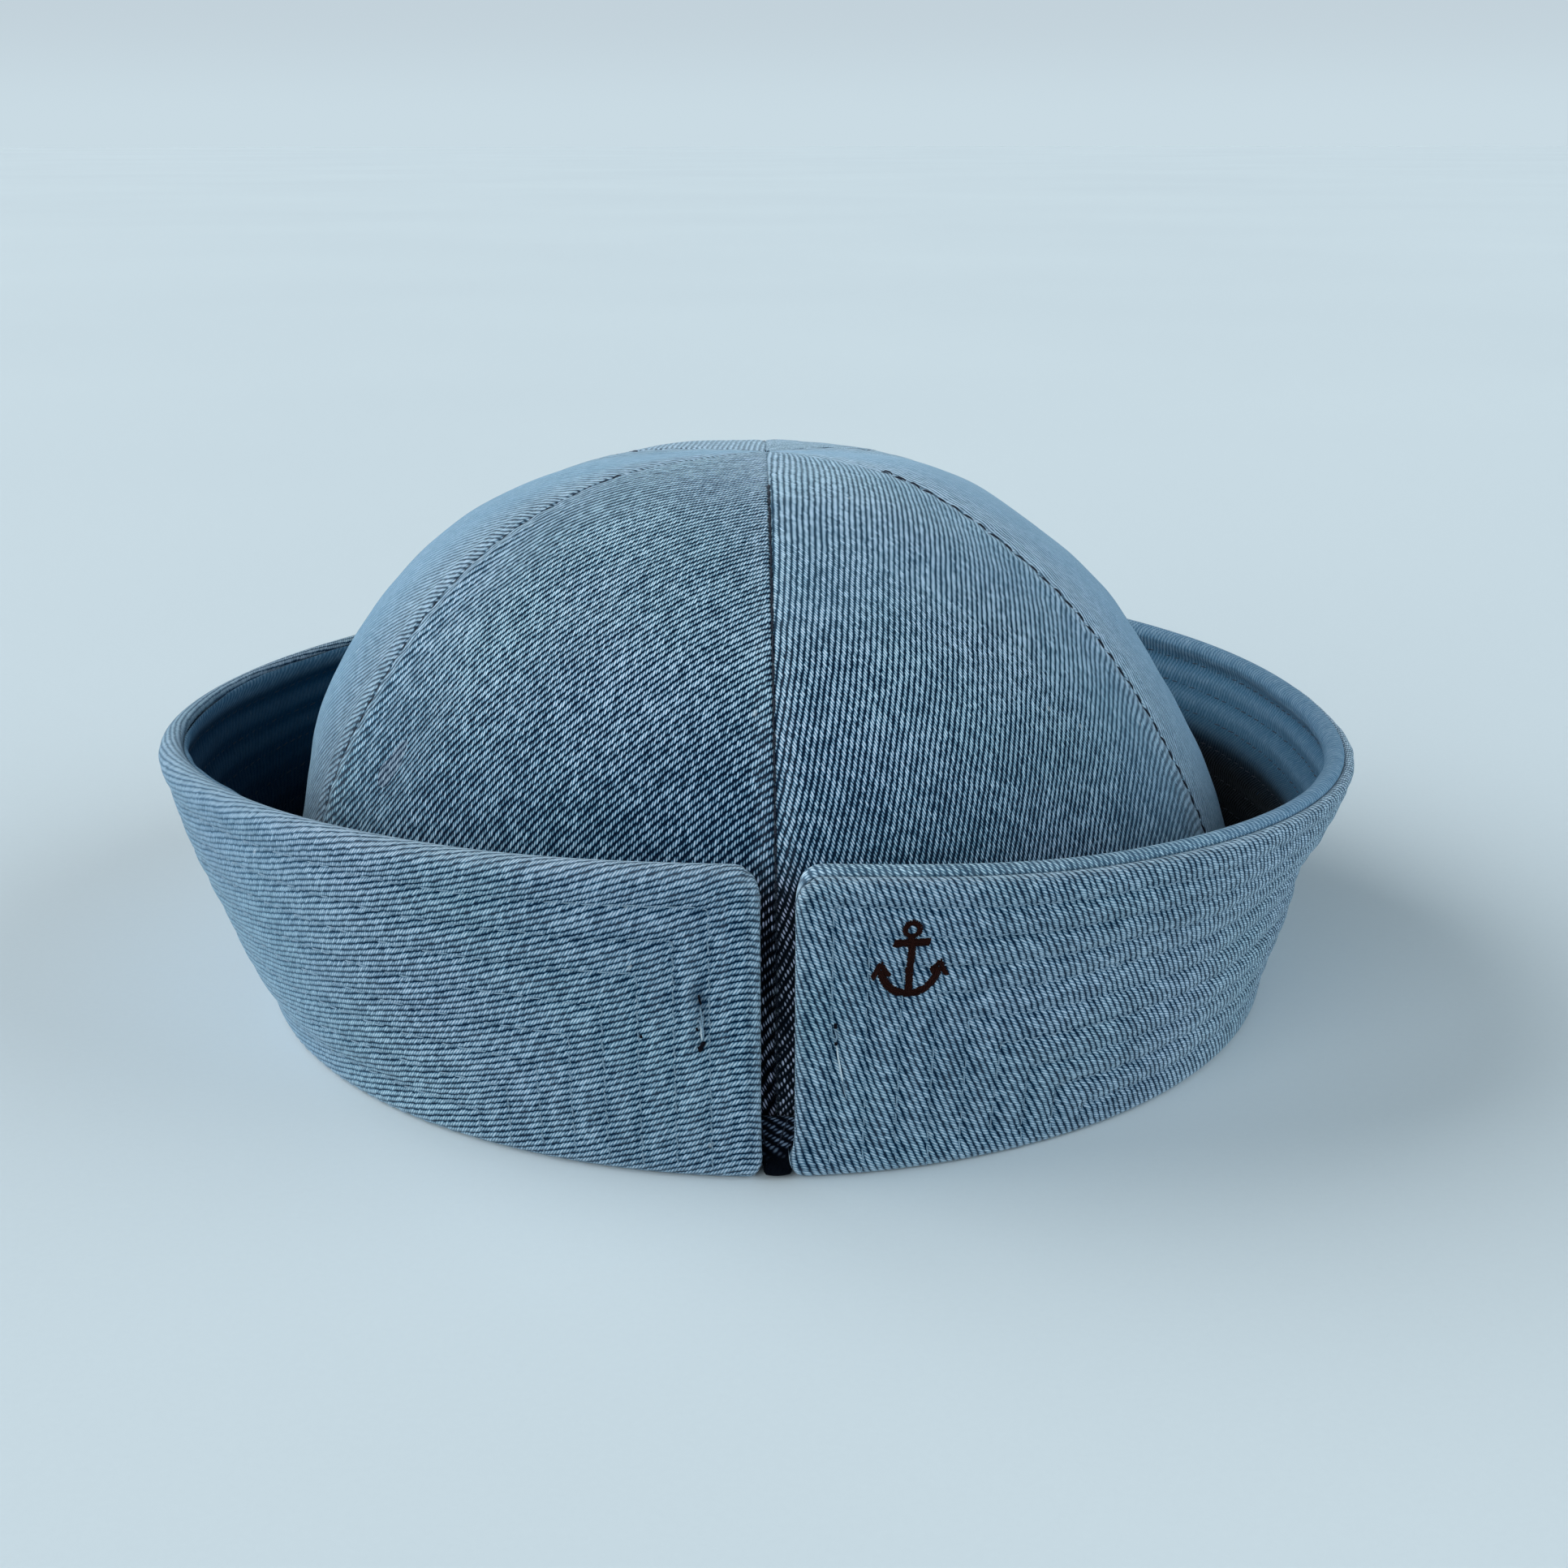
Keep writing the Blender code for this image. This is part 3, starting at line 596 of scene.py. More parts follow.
def crown_panel(k, name, left_seam, right_seam, direction, turns):
    columns = spread_columns(84)
    rises = np.linspace(0.0, 89.55, 170)
    rise = np.repeat(rises[:, None], len(columns), 1)
    u = np.repeat(columns[None], len(rises), 0)
    left, right = seam_angle(left_seam, rise), seam_angle(right_seam, rise)
    angle = left + (right - left) * (u + 1.0) / 2.0
    base = crown_points(angle, rise, u)
    normal = grid_normals(base)
    # arc lengths: along each row from the gore's middle, and up its middle
    seg = np.linalg.norm(np.diff(base, axis=1), axis=2)
    arc = np.concatenate([np.zeros((len(rises), 1)), np.cumsum(seg, 1)], 1)
    mid = len(columns) // 2
    w = arc - 0.5 * (arc[:, mid - 1:mid] + arc[:, mid:mid + 1])
    line = base[:, mid]
    up = np.concatenate([[0.0], np.cumsum(np.linalg.norm(np.diff(line, axis=0), axis=1))])
    share = np.interp(rises, CROWN_X, CROWN_SHARE) * 91.5
    slope = np.clip(-np.gradient(share) / np.gradient(up), 0.0, 1.0)
    middle = 0.5 * (left + right)
    phi = turns * np.radians(angle - middle) * slope[:, None]
    safe = np.where(np.abs(phi) < 1e-4, 1e-4, phi)
    flat = np.stack([w * np.sin(safe) / safe, up[:, None] + w * (1.0 - np.cos(safe)) / safe], -1)
    yarns = to_yarns(flat, direction)
    if name in EASED:
        ww, vv = w / 30.0, (up[:, None] - 50.0) / 50.0 + 0.0 * w
        terms = np.stack([ww, vv, ww * ww, ww * vv, vv * vv, ww ** 3, ww * ww * vv, ww * vv * vv, vv ** 3], -1)
        yarns = np.stack([terms @ np.array(c) for c in EASED[name]], -1)
    # distance to each seam
    half = 0.5 * arc[:, -1:]
    to_left, to_right = arc, arc[:, -1:] - arc
    d = np.minimum(to_left, to_right)
    room = np.clip(half / 7.0, 0.05, 1.0)
    # surface: seams sink in, the allowance below them shows as a soft ridge, the cloth puckers
    high = 1.0 - 0.75 * smooth((rise - 70.0) / 14.0)
    out = -0.52 * room * high * bell(d, 0.34 * room)
    out += 0.05 * room * bell(d - 2.2, 1.5)
    out -= 0.10 * room * smooth((d - 6.2) / 1.0) * (1.0 - smooth((d - 7.2) / 9.0))
    pucker = np.sin(2.0 * math.pi * (up[:, None] / 5.4 + 0.35 * ripple(base, 26.0, 40 + k)))
    out += 0.10 * room * pucker * bell(d - 1.4, 2.6)
    out += 0.16 * ripple(base, 34.0, 5) * smooth(d / 9.0)
    out += 0.045 * ripple(base, 9.0, 6) * smooth(d / 4.0)
    if name == "crown_panel_back_left":
        # ridge beside the left seam, and the soft diagonal fold low on that side
        out += 0.42 * bell(to_left - 3.9, 1.3) * smooth((rise - 4.0) / 10.0) * smooth((72.0 - rise) / 16.0)
        a, r = turn(angle, -51.5), rise - 31.0
        run = 0.52 * a + 0.86 * r * 0.9
        side = (0.88 * a - 0.45 * r)
        out -= 0.75 * np.exp(-(run / 12.0) ** 2 - (side / 3.6) ** 2)
        out += 0.45 * np.exp(-(run / 11.0) ** 2 - ((side - 7.5) / 4.2) ** 2)
        for da, dr, wd, amp in ((-60.5, 30.0, 1.9, -0.22), (-58.2, 25.5, 1.8, 0.16), (-56.0, 28.0, 1.9, -0.14)):
            out += amp * np.exp(-((turn(angle, da) + 0.35 * (rise - dr)) / wd) ** 2 - ((rise - dr) / 6.5) ** 2)
    if name == "crown_panel_back_right":
        a, r = turn(angle, 39.0), rise - 28.5
        out -= 0.55 * np.exp(-((0.75 * a + 0.5 * r) / 9.0) ** 2 - ((0.66 * r - 0.5 * a) / 4.0) ** 2)
        out += 0.25 * bell(to_right - 3.6, 1.4) * smooth((rise - 4.0) / 10.0) * smooth((76.0 - rise) / 16.0)
    if name == "crown_panel_side_left":
        out += 0.30 * bell(to_right - 3.2, 1.3) * smooth((rise - 4.0) / 10.0) * smooth((76.0 - rise) / 16.0)
    outer = base + normal * out[..., None]
    inner_depth = 0.85 + 0.55 * (1.0 - smooth((d - 7.2) / 0.7)) + 0.35 * (1.0 - smooth((rise - 6.0) / 1.0))
    inner_depth = np.minimum(inner_depth, CROWN_WALL + 0.05) * np.clip(half / 3.0, 0.35, 1.0)
    inner = base - normal * (inner_depth + 0.05 * ripple(base, 7.0, 60 + k))[..., None]
    rows, cols = base.shape[:2]
    n = rows * cols
    apex = crown_points(np.array([0.0]), np.array([90.0]), np.array([0.0]))[0]
    points = np.concatenate([outer.reshape(-1, 3), inner.reshape(-1, 3),
                             [apex + (0.0, 0.0, -0.75)], [apex + (0.0, 0.0, -1.35)]])
    flat_all = np.concatenate([yarns.reshape(-1, 2), yarns.reshape(-1, 2),
                               yarns[-1, mid][None], yarns[-1, mid][None]])
    faces = [tuple(f) for f in grid_faces(rows, cols)]
    faces += [((rows - 1) * cols + c, (rows - 1) * cols + c + 1, 2 * n) for c in range(cols - 1)]
    slots = [0] * len(faces)
    back = [tuple(f) for f in grid_faces(rows, cols, n, flip=True)]
    back += [(n + (rows - 1) * cols + c + 1, n + (rows - 1) * cols + c, 2 * n + 1) for c in range(cols - 1)]
    # the cut edges: bottom, left, right
    for c in range(cols - 1):
        back.append((c + 1, c, n + c, n + c + 1))
    for r in range(rows - 1):
        a, b = r * cols, (r + 1) * cols
        back.append((a, b, n + b, n + a))
        a, b = a + cols - 1, b + cols - 1
        back.append((b, a, n + a, n + b))
    a = (rows - 1) * cols
    back.append((a, 2 * n, 2 * n + 1, n + a))
    a += cols - 1
    back.append((2 * n, a, n + a, 2 * n + 1))
    slots += [1] * len(back)
    beside = bell(d - 1.8, 1.3) * room * smooth((rise - 8.0) / 12.0)
    wear_and_light = 0.08 * beside
    shade = 0.8 * bell(d, 0.22) * high
    # painted shade: low down, where the brim covers it, the cloth is painted darker
    away = np.abs(turn(angle, 0.0))
    to_right_side = (turn(angle, 0.0) > 0.0) + 0.0
    fade_and_shade = -0.17 * (1.0 - smooth((rise - 20.0) / (36.0 - 8.0 * to_right_side))) + 0.04 * beside
    # the upper right is a little lighter, the upper left a little darker
    fade_and_shade = fade_and_shade + (0.05 * to_right_side - 0.02) * smooth((rise - 45.0) / 30.0)
    # painted shade: low behind the split the cloth is painted near black with a few pale dashes
    slit_shadow = 0.95 * (1.0 - smooth((base[..., 2] - 39.0) / 8.0))
    slit_shadow = slit_shadow * (1.0 - 0.75 * smooth((away - 10.0) / 10.0) - 0.25 * smooth((away - 26.0) / 20.0))
    flank = 1.0 - smooth((away - 94.0) / 22.0)
    calm = (0.04 + 0.12 * to_right_side) * smooth((away - 38.0) / 22.0)
    calm = 0.06 * smooth((away - 40.0) / 40.0) + (calm + (0.52 - 0.04 * to_right_side) * smooth((away - 64.0) / 18.0)) * flank
    calm = calm * (1.0 - (1.0 - to_right_side) * 0.55 * (1.0 - smooth((rise - 16.0) / 22.0)))
    calm = calm + to_right_side * (0.015 + 0.115 * smooth((rise - 48.0) / 11.0)) * (1.0 - smooth((away - 50.0) / 20.0))
    # painted light: the side gores, the right one most, are painted paler and lighter
    fade_and_shade = fade_and_shade + 0.09 * to_right_side * smooth((away - 58.0) / 8.0) * flank
    wear_and_light = wear_and_light + (0.30 + (0.04 + 0.06 * to_right_side) * flank) * smooth((away - 58.0) / 8.0)
    wear_and_light = wear_and_light * (1.0 - slit_shadow)
    zero = np.zeros(n)
    obj = make_piece(name + "_cloth", points, faces + back, flat_all + (k * 61.0, k * 37.0),
                     [crown_cloth, back_cloth], slots,
                     {"wear_and_light": np.concatenate([wear_and_light.ravel(), zero, [0.0, 0.0]]),
                      "shade": np.concatenate([shade.ravel(), 0.1 + zero, [0.4, 0.4]]),
                      "fade_and_shade": np.concatenate([fade_and_shade.ravel(), zero, [0.0, 0.0]]),
                      "calm": np.concatenate([calm.ravel(), zero, [0.0, 0.0]]),
                      "slit_shadow": np.concatenate([slit_shadow.ravel(), zero, [0.0, 0.0]])}, sharp=60.0)
    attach(obj, "root")
    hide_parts(name)
    return {"outer": outer, "normal": normal, "arc": arc, "rise": rises}


panels = {g[0]: crown_panel(k, *g) for k, g in enumerate(GORES)}


# ---- the brim ----------------------------------------------------------------
def brim_stations(step):
    fine = np.array([0.0, 0.08, 0.25, 0.5, 0.85, 1.3, 1.9, 2.6, 3.5, 4.5])
    near = np.degrees(np.arcsin((SPLIT_HALF + fine) / SPLIT_RADIUS))
    count = int(round(600.0 / step))
    middle = np.linspace(near[-1], 360.0 - near[-1], count + 2)[1:-1]
    return np.concatenate([near, middle, 360.0 - near[::-1]])


def tack_hole_shade(angle, z, marks):
    """Painted shade in the tack's slit, dents and needle holes: angle, height, half width, half height, strength, lean.
    """
    total = 0.0 * z
    for a0, z0, wide, tall, strength, lean in marks:
        across = turn(angle, a0)[None] * math.radians(1.0) * SPLIT_RADIUS
        total = np.maximum(total, strength * np.exp(-((across - lean * (z - z0)) / wide) ** 2
                                                    - ((z - z0) / tall) ** 2))
    return total


def densify(rows, per):
    """More rows between a fold's rows, on a spline through them."""
    rows = np.array(rows)
    out = []
    n = len(rows)
    for i in range(n - 1):
        p = [rows[min(max(i + k, 0), n - 1)] for k in (-1, 0, 1, 2)]
        out += [spline(*p, k / per) for k in range(per)]
    return np.array(out + [rows[-1]])


def ply(facing, step, row_step):
    """Both faces of one ply as grids of points, from the fold up to its rolled
    end: rows x stations x 3, and where each row lies on the cloth."""
    angle = brim_stations(step)
    height = brim_row(angle)[2]
    rim = height - corner_drop(angle)
    left = smooth(0.5 + turn(angle, 180.0) / 40.0)
    stand = brim_row(angle)[0] - FOLD_STAND_OFF
    fold = densify(FACING_FOLD if facing else OUTER_FOLD, 4)
    shown, hidden = [], []
    for o, z, i, zi in fold[:-1]:
        a = (o + stand * smooth((o - 1.4) / 2.2), np.full_like(angle, max(z, 0.0)))
        b = (i + stand * smooth((i - 1.4) / 2.2), np.full_like(angle, zi))
        shown.append(b if facing else a)
        hidden.append(a if facing else b)

    def spot(offset, depth):
        """A point of the section: out from the outer face and down from the rim."""
        z = rim - depth
        share = (z - FOLD_TOP_Z) / (height - FOLD_TOP_Z)
        face = wall_out(angle, share)
        lean = (wall_out(angle, share + 0.02) - wall_out(angle, share - 0.02)) / (0.04 * (height - FOLD_TOP_Z))
        c = 1.0 / np.sqrt(1.0 + lean * lean)
        return face + offset * c, z - offset * lean * c

    def row(depth):
        swell = smooth(1.0 - (depth - 1.5) / (RIM_REACH - 1.5))
        shown.append(spot(-(2.0 * PLY + PLY_GAP) - 1.9 * swell if facing else 0.5 * swell, depth))
        hidden.append(spot(-(PLY + 0.5 * PLY_GAP) - 0.7 * swell + (-0.02 if facing else 0.02), depth))

    steps = max(8, int(round(36.0 / row_step)))
    low = FOLD_TOP_Z + 0.02 * (height - FOLD_TOP_Z)
    for k in range(steps + 1):
        row((rim - low) + (7.0 - (rim - low)) * k / steps)
    for depth in (6.2, 5.4, 4.7, 4.0, 3.4, 2.9, 2.5):
        row(depth + 0.0 * rim)
    base = len(shown) - 1
    profile = RIM_FACING if facing else RIM_OUTER
    right_part, left_part = (densify(t, 3) for t in profile)
    swell = smooth(1.0 - (2.5 - 1.5) / (RIM_REACH - 1.5))
    for k in range(len(right_part)):
        at = right_part[k][None] + (left_part[k] - right_part[k])[None] * left[:, None]
        end = right_part[-1][None] + (left_part[-1] - right_part[-1])[None] * left[:, None]
        f = (k + 1.0) / len(right_part)
        shown.append(spot(at[:, 0], at[:, 1]))
        hidden.append(spot((1.0 - f) * (-(PLY + 0.5 * PLY_GAP) - 0.7 * swell) + f * end[:, 0],
                           (1.0 - f) * 2.5 + f * end[:, 1]))
    shown = np.stack([brim_points(angle, a, z) for a, z in shown])
    hidden = np.stack([brim_points(angle, a, z) for a, z in hidden])
    # the ends at the split are rolled too, each ply towards the other
    edge = SPLIT_RADIUS * np.abs(np.sin(np.radians(turn(angle, 0.0)))) - SPLIT_HALF
    edge = np.where(np.abs(turn(angle, 0.0)) > 90.0, 1e3, edge)
    e = np.sqrt(np.clip(1.0 - (1.0 - np.clip(edge / 1.7, 0.0, 1.0)) ** 2, 0.0, 1.0))
    shown = hidden + (shown - hidden) * np.maximum(e, 0.10)[None, :, None]
    # its lower corners are rounded; the right one has opened a little towards the split
    inside = np.clip(edge / FOOT_CORNER, 0.0, 1.0)
    lift = FOOT_CORNER * (1.0 - np.sqrt(1.0 - (1.0 - inside) ** 2))
    a = np.radians(angle)
    tangent = np.stack([np.cos(a), np.sin(a), 0.0 * a], -1)
    flare = np.where(turn(angle, 0.0) > 0.0, 0.85, -0.15) * bell(edge, 2.6)
    for face in (shown, hidden):
        z = face[..., 2].copy()
        face -= tangent[None] * (flare[None] * bell(z, 4.2))[..., None]
        face[..., 2] += lift[None] * (1.0 - smooth(z / 6.5))
    return angle, edge, shown, hidden, base


def lay_flat(angle, mid_line, up):
    """The brim's flat pattern: a curved strip. up holds how far above the
    mid line each point lies."""
    step = np.linalg.norm(np.diff(mid_line, axis=0), axis=1)
    at, lay = np.array(BRIM_LAY).T
    phi = np.radians(np.interp(angle, at, lay) - lay[0])
    mid_phi = 0.5 * (phi[1:] + phi[:-1])
    x = np.concatenate([[0.0], np.cumsum(np.cos(mid_phi) * step)])
    y = np.concatenate([[0.0], np.cumsum(-np.sin(mid_phi) * step)])
    return np.stack([x[None] + up * np.sin(phi)[None], y[None] + up * np.cos(phi)[None]], -1)


def along_rows(points):
    """Arc length up each station's column."""
    seg = np.linalg.norm(np.diff(points, axis=0), axis=2)
    return np.concatenate([np.zeros((1, points.shape[1])), np.cumsum(seg, 0)])


def row_places(angle):
    """Rows of stitching: the first and the spacing down from the rim, then the
    same in from the split's edge."""
    left = smooth((np.asarray(angle) - 120.0) / 120.0)
    return 5.6 + 0.7 * left, 4.75 + 0.55 * left, 5.6 + 2.3 * left, 5.4 + 0.2 * left


def quilt(angle, d_top, d_edge, points, depth, seed, wide=0.55):
    """Rows of stitching that follow the rim and turn down beside the split.
    Returns how far the cloth sinks and how near a row each point is."""
    first, pitch, first_edge, pitch_edge = (v[None] for v in row_places(angle))
    by_top = (d_top - first) / pitch
    by_edge = (d_edge - first_edge) / pitch_edge
    phase = np.minimum(by_top, by_edge) + 0.03 * ripple(points, 30.0, seed)
    nearest = np.round(phase)
    off = (phase - nearest) * 5.1
    channel = np.where(nearest >= 0, bell(off, wide), 0.0)
    pillow = np.where(phase > -0.5, 0.5 - 0.5 * np.cos(2.0 * math.pi * phase), 0.0)
    return depth * (pillow * 0.55 - channel), channel, by_top < by_edge


def build_ply(name, node, facing, step, row_step, front):
    angle, edge, shown, hidden, base = ply(facing, step, row_step)
    arc = along_rows(shown)
    d_top = 2.5 + arc[base:base + 1] - arc
    d_edge = np.broadcast_to(edge[None], d_top.shape)
    normal = grid_normals(shown)
    if facing:
        normal = -normal
    z = shown[..., 2]
    above = smooth((z - 1.5) / 5.0)
    quilted, channel, by_top = quilt(angle, d_top, d_edge, shown, 0.62 if facing else 0.42, 21,
                                     1.15 if facing else 0.55)
    patch = np.clip(0.75 + 0.35 * ripple(shown, 60.0, 77 + facing), 0.25, 1.3)
    if facing:
        patch = patch * (1.0 - 0.55 * bell(d_top - 4.0, 3.5))
    right = smooth(0.5 + 1.2 * np.sin(np.radians(angle)))[None]
    push = quilted * above * patch * (0.55 + 0.55 * right)
    push += above * (0.20 * ripple(shown, 42.0, 31) + 0.05 * ripple(shown, 8.0, 33))
    # small puckers along the rows, one to a stitch
    run = np.concatenate([[0.0], np.cumsum(np.linalg.norm(np.diff(shown[len(shown) // 2], axis=0), axis=1))])
    beat = np.where(by_top, run[None], z)
    push += above * 0.05 * np.sin(2.0 * math.pi * beat / 3.05) * bell(channel - 0.55, 0.4)
    # the roll of the rim and of the ends at the split, gathered a little
    roll = bell(d_top - 2.6, 2.4)
    push += roll * above * (0.05 + 0.06 * ripple(shown, 11.0, 52))
    push += bell(edge - 3.2, 2.2)[None] * above * 0.22 * smooth(edge / 1.5)[None]
    push *= smooth(edge / 1.7)[None] * smooth(d_top / 2.0)
    if not facing:                      # two old tacks, one on each side of the split
        for a0, z0, wide, tall, depth in ((353.4, 27.5, 0.55, 3.6, 0.55), (353.0, 29.8, 0.9, 1.1, 0.35),
                                          (5.0, 25.0, 0.40, 0.7, 0.45), (5.1, 22.6, 0.35, 0.5, 0.4)):
            across = turn(angle, a0)[None] * math.radians(1.0) * SPLIT_RADIUS
            push -= depth * np.exp(-((across - 0.12 * (z - z0)) / wide) ** 2 - ((z - z0) / tall) ** 2)
    shown = shown + normal * push[..., None]
    shown[..., 2] = np.maximum(shown[..., 2], 0.0)
    # hidden face: fewer rows
    rows, cols = shown.shape[:2]
    keep = np.unique(np.concatenate([np.arange(0, rows - 1, 3), [base, rows - 2]]))
    rear = hidden[keep]
    section = np.concatenate([shown, rear[::-1]])          # up the shown face, down the hidden one
    arc_s = along_rows(section)
    place = int(0.45 * rows)
    up = arc_s - arc_s[place:place + 1]
    flat = lay_flat(angle, section[place], up)
    if facing:
        flat = flat * (-1.0, 1.0)
    yarns = to_yarns(flat, FACING_TWILL if facing else BRIM_LAY[0][1])
    total = len(section)
    faces = grid_faces(total, cols)
    closing = np.stack([(total - 1) * cols + np.arange(cols - 1), (total - 1) * cols + np.arange(1, cols),
                        np.arange(1, cols), np.arange(cols - 1)], -1)
    faces = np.concatenate([faces, closing])
    if facing:
        faces = faces[:, ::-1]
    faces = [tuple(f) for f in faces]
    # the split's two ends are closed by narrow strips, row against row
    for c, flip in ((0, facing), (cols - 1, not facing)):
        for j, first in enumerate(keep):
            last = keep[j + 1] if j + 1 < len(keep) else rows - 1
            f = [int(r) * cols + c for r in range(first, last + 1)]
            if j + 1 < len(keep):
                f.append((total - 2 - j) * cols + c)
            f.append((total - 1 - j) * cols + c)
            faces.append(tuple(f[::-1] if flip else f))
    slots = [0] * len(faces)
    crease = bell(edge - 1.75, 0.42)[None] * above
    shade = (0.24 if facing else 0.16) * channel * above
    if not facing:
        shade = shade + 0.30 * crease
    # the crease between the two rolled edges, and the rim furthest from the window
    up_roll = np.clip((np.arange(rows) - base) / (rows - 1.0 - base), 0.0, 1.0)[:, None]
    shade = shade + 0.55 * smooth((up_roll - 0.86) / 0.14)
    behind = smooth((-turn(angle, 0.0) - 78.0) / 24.0) * (1.0 - smooth((-turn(angle, 0.0) - 150.0) / 25.0))
    shade = shade + 0.50 * behind[None] * bell(d_top, 3.0)
    top_wear = np.where(d_top > 0.6, bell(d_top - 0.6, 1.6), 1.0)
    wear_and_light = (0.34 * top_wear * (1.0 - behind)[None] + 0.30 * bell(edge - 0.4, 1.0)[None]) * above
    wear_and_light = wear_and_light + 0.18 * above * smooth(quilted / 0.3)
    if not facing:
        push_seam = 0.26 * crease
        shown = shown - normal * push_seam[..., None]
        section[:rows] = shown
    low = 0.35 * (1.0 - smooth(z / 3.0))
    # painted shade in the torn tack's slit and in the needle holes
    if not facing:
        shade = np.maximum(shade, tack_hole_shade(angle, z, (
            (353.15, 29.6, 1.1, 2.0, 0.95, -0.3), (353.3, 25.4, 1.2, 2.6, 0.35, 0.2),
            (353.2, 22.2, 1.1, 0.9, 0.55, 0.6), (5.0, 24.2, 0.7, 2.4, 0.45, 0.0))))
    if facing:                          # painted shade: the facing is painted darker the deeper it lies behind the crown, its top edge a little lighter
        left = smooth((np.asarray(angle) - 150.0) / 90.0)[None]
        fade_and_shade = 0.07 * bell(d_top, 1.8) - 0.12 * smooth((d_top - 3.0) / 4.0) - 0.20 * smooth((d_top - 8.0) / 20.0)
        shade = shade + (1.0 - left) * 0.10 * smooth((d_top - 2.0) / 4.0)
        shade = shade + left * (0.86 * smooth((d_top - 2.0) / 4.0) + 0.14 * smooth((d_top - 11.0) / 10.0))
        shade = shade + (1.0 - left) * 1.0 * smooth((d_top - 14.0) / 8.0)
    else:
        fade_and_shade = 0.03 * smooth((np.abs(turn(angle, 0.0)) - 10.0) / 50.0)[None] + 0.05 * bell(d_top, 2.6) * above
    left_side = -turn(angle, 0.0)
    calm = (0.34 * smooth((left_side - 36.0) / 24.0) * (1.0 - smooth((left_side - 96.0) / 24.0)))[None] + 0.0 * z
    if facing:
        away = np.abs(turn(angle, 0.0))[None]
        calm = 0.04 + smooth((away - 18.0) / 45.0) * (0.68 - 0.30 * smooth((away - 120.0) / 30.0)) + 0.0 * z
    extra = np.zeros((len(rear), cols))
    deep = 0.0 * z
    if facing:                          # painted shade: little light gets down beside the crown, so the cloth there is painted near black
        deep = ((1.0 - left) * 0.97 * smooth((d_top - 13.5) / 9.0) + left * 0.6 * smooth((d_top - 18.0) / 14.0)) * above
    obj = make_piece(name, section.reshape(-1, 3), faces, yarns.reshape(-1, 2), [front], slots,
                     {"wear_and_light": np.concatenate([wear_and_light + low, extra]).ravel(),
                      "shade": np.concatenate([shade, extra + 0.2]).ravel(),
                      "calm": np.concatenate([calm, extra]).ravel(),
                      "deep": np.concatenate([deep, extra]).ravel(),
                      "fade_and_shade": np.concatenate([fade_and_shade, extra]).ravel()}, sharp=75.0)
    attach(obj, "root")
    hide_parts(node)
    return {"angle": angle, "edge": edge, "points": shown, "normal": normal, "arc": arc, "d_top": d_top,
            "base": base}


STEP = 0.95
outer = build_ply("brim_outer_cloth", "brim_outer", False, STEP, 0.7, brim_cloth)
facing = build_ply("brim_facing_cloth", "brim_facing", True, STEP * 1.15, 0.85, facing_cloth)


# ---- the rows of stitching on the brim ---------------------------------------
def on_ply(data, station, d_top):
    """Point and normal of a ply's shown face at fractional stations and
    distances below the rim."""
    s0 = np.clip(np.floor(station).astype(int), 0, len(data["angle"]) - 2)
    f = np.clip(station - s0, 0.0, 1.0)[:, None]
    out_p, out_n = [], []
    for s, d, t in zip(s0, d_top, f[:, 0]):
        pn = []
        for c in (s, s + 1):
            column = data["d_top"][::-1, c]
            r = len(column) - 1 - np.interp(d, column, np.arange(len(column)))
            r0 = min(int(r), len(column) - 2)
            g = r - r0
            pn.append([(1 - g) * data[k][r0, c] + g * data[k][r0 + 1, c] for k in ("points", "normal")])
        out_p.append((1 - t) * pn[0][0] + t * pn[1][0])
        out_n.append((1 - t) * pn[0][1] + t * pn[1][1])
    n = np.array(out_n)
    return np.array(out_p), n / np.linalg.norm(n, axis=1, keepdims=True)


def brim_rows_of_thread(data, name, material, seed, radius, sink):
    bundle = Bundle()
    angle, edge = data["angle"], data["edge"]
    count = len(angle)
    first, pitch, first_edge, pitch_edge = row_places(angle)
    reach = data["d_top"][0].mean()
    quarter = int(np.argmax(edge[:count // 2] > 60.0))
    k = 0
    while True:
        down = first + pitch * k
        if down.max() > reach - 6.0:
            break
        start = float(np.interp(first_edge[0] + pitch_edge[0] * k, edge[:quarter], np.arange(quarter)))
        stop = count - 1 - float(np.interp(first_edge[-1] + pitch_edge[-1] * k, edge[::-1][:quarter],
                                           np.arange(quarter)))
        # down beside the split, up to the corner, round the cap, and down again
        up_part = np.arange(reach - 4.0, down[0], -0.9)
        down_part = np.arange(down[-1], reach - 4.0, 0.9)
        around = np.arange(start, stop, 0.9)
        path = np.concatenate([np.stack([np.full(len(up_part), start), up_part], 1),
                               np.stack([around, np.interp(around, np.arange(count), down)], 1),
                               np.stack([np.full(len(down_part), stop), down_part], 1)])
        p, n = on_ply(data, path[:, 0], path[:, 1])
        keep = np.concatenate([[True], np.linalg.norm(np.diff(p, axis=0), axis=1) > 0.05])
        stitches(bundle, p[keep], n[keep], seed=seed + k, sides=5,
                 radius=radius, sink=sink, length=2.5, gap=0.45, askew=0.20)
        k += 1
    obj = bundle.piece(name, material)
    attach(obj, "root")


brim_rows_of_thread(outer, "brim_outer_stitching", pale_thread, 100, 0.115, 0.085)
brim_rows_of_thread(facing, "brim_facing_stitching", facing_thread, 200, 0.10, 0.12)


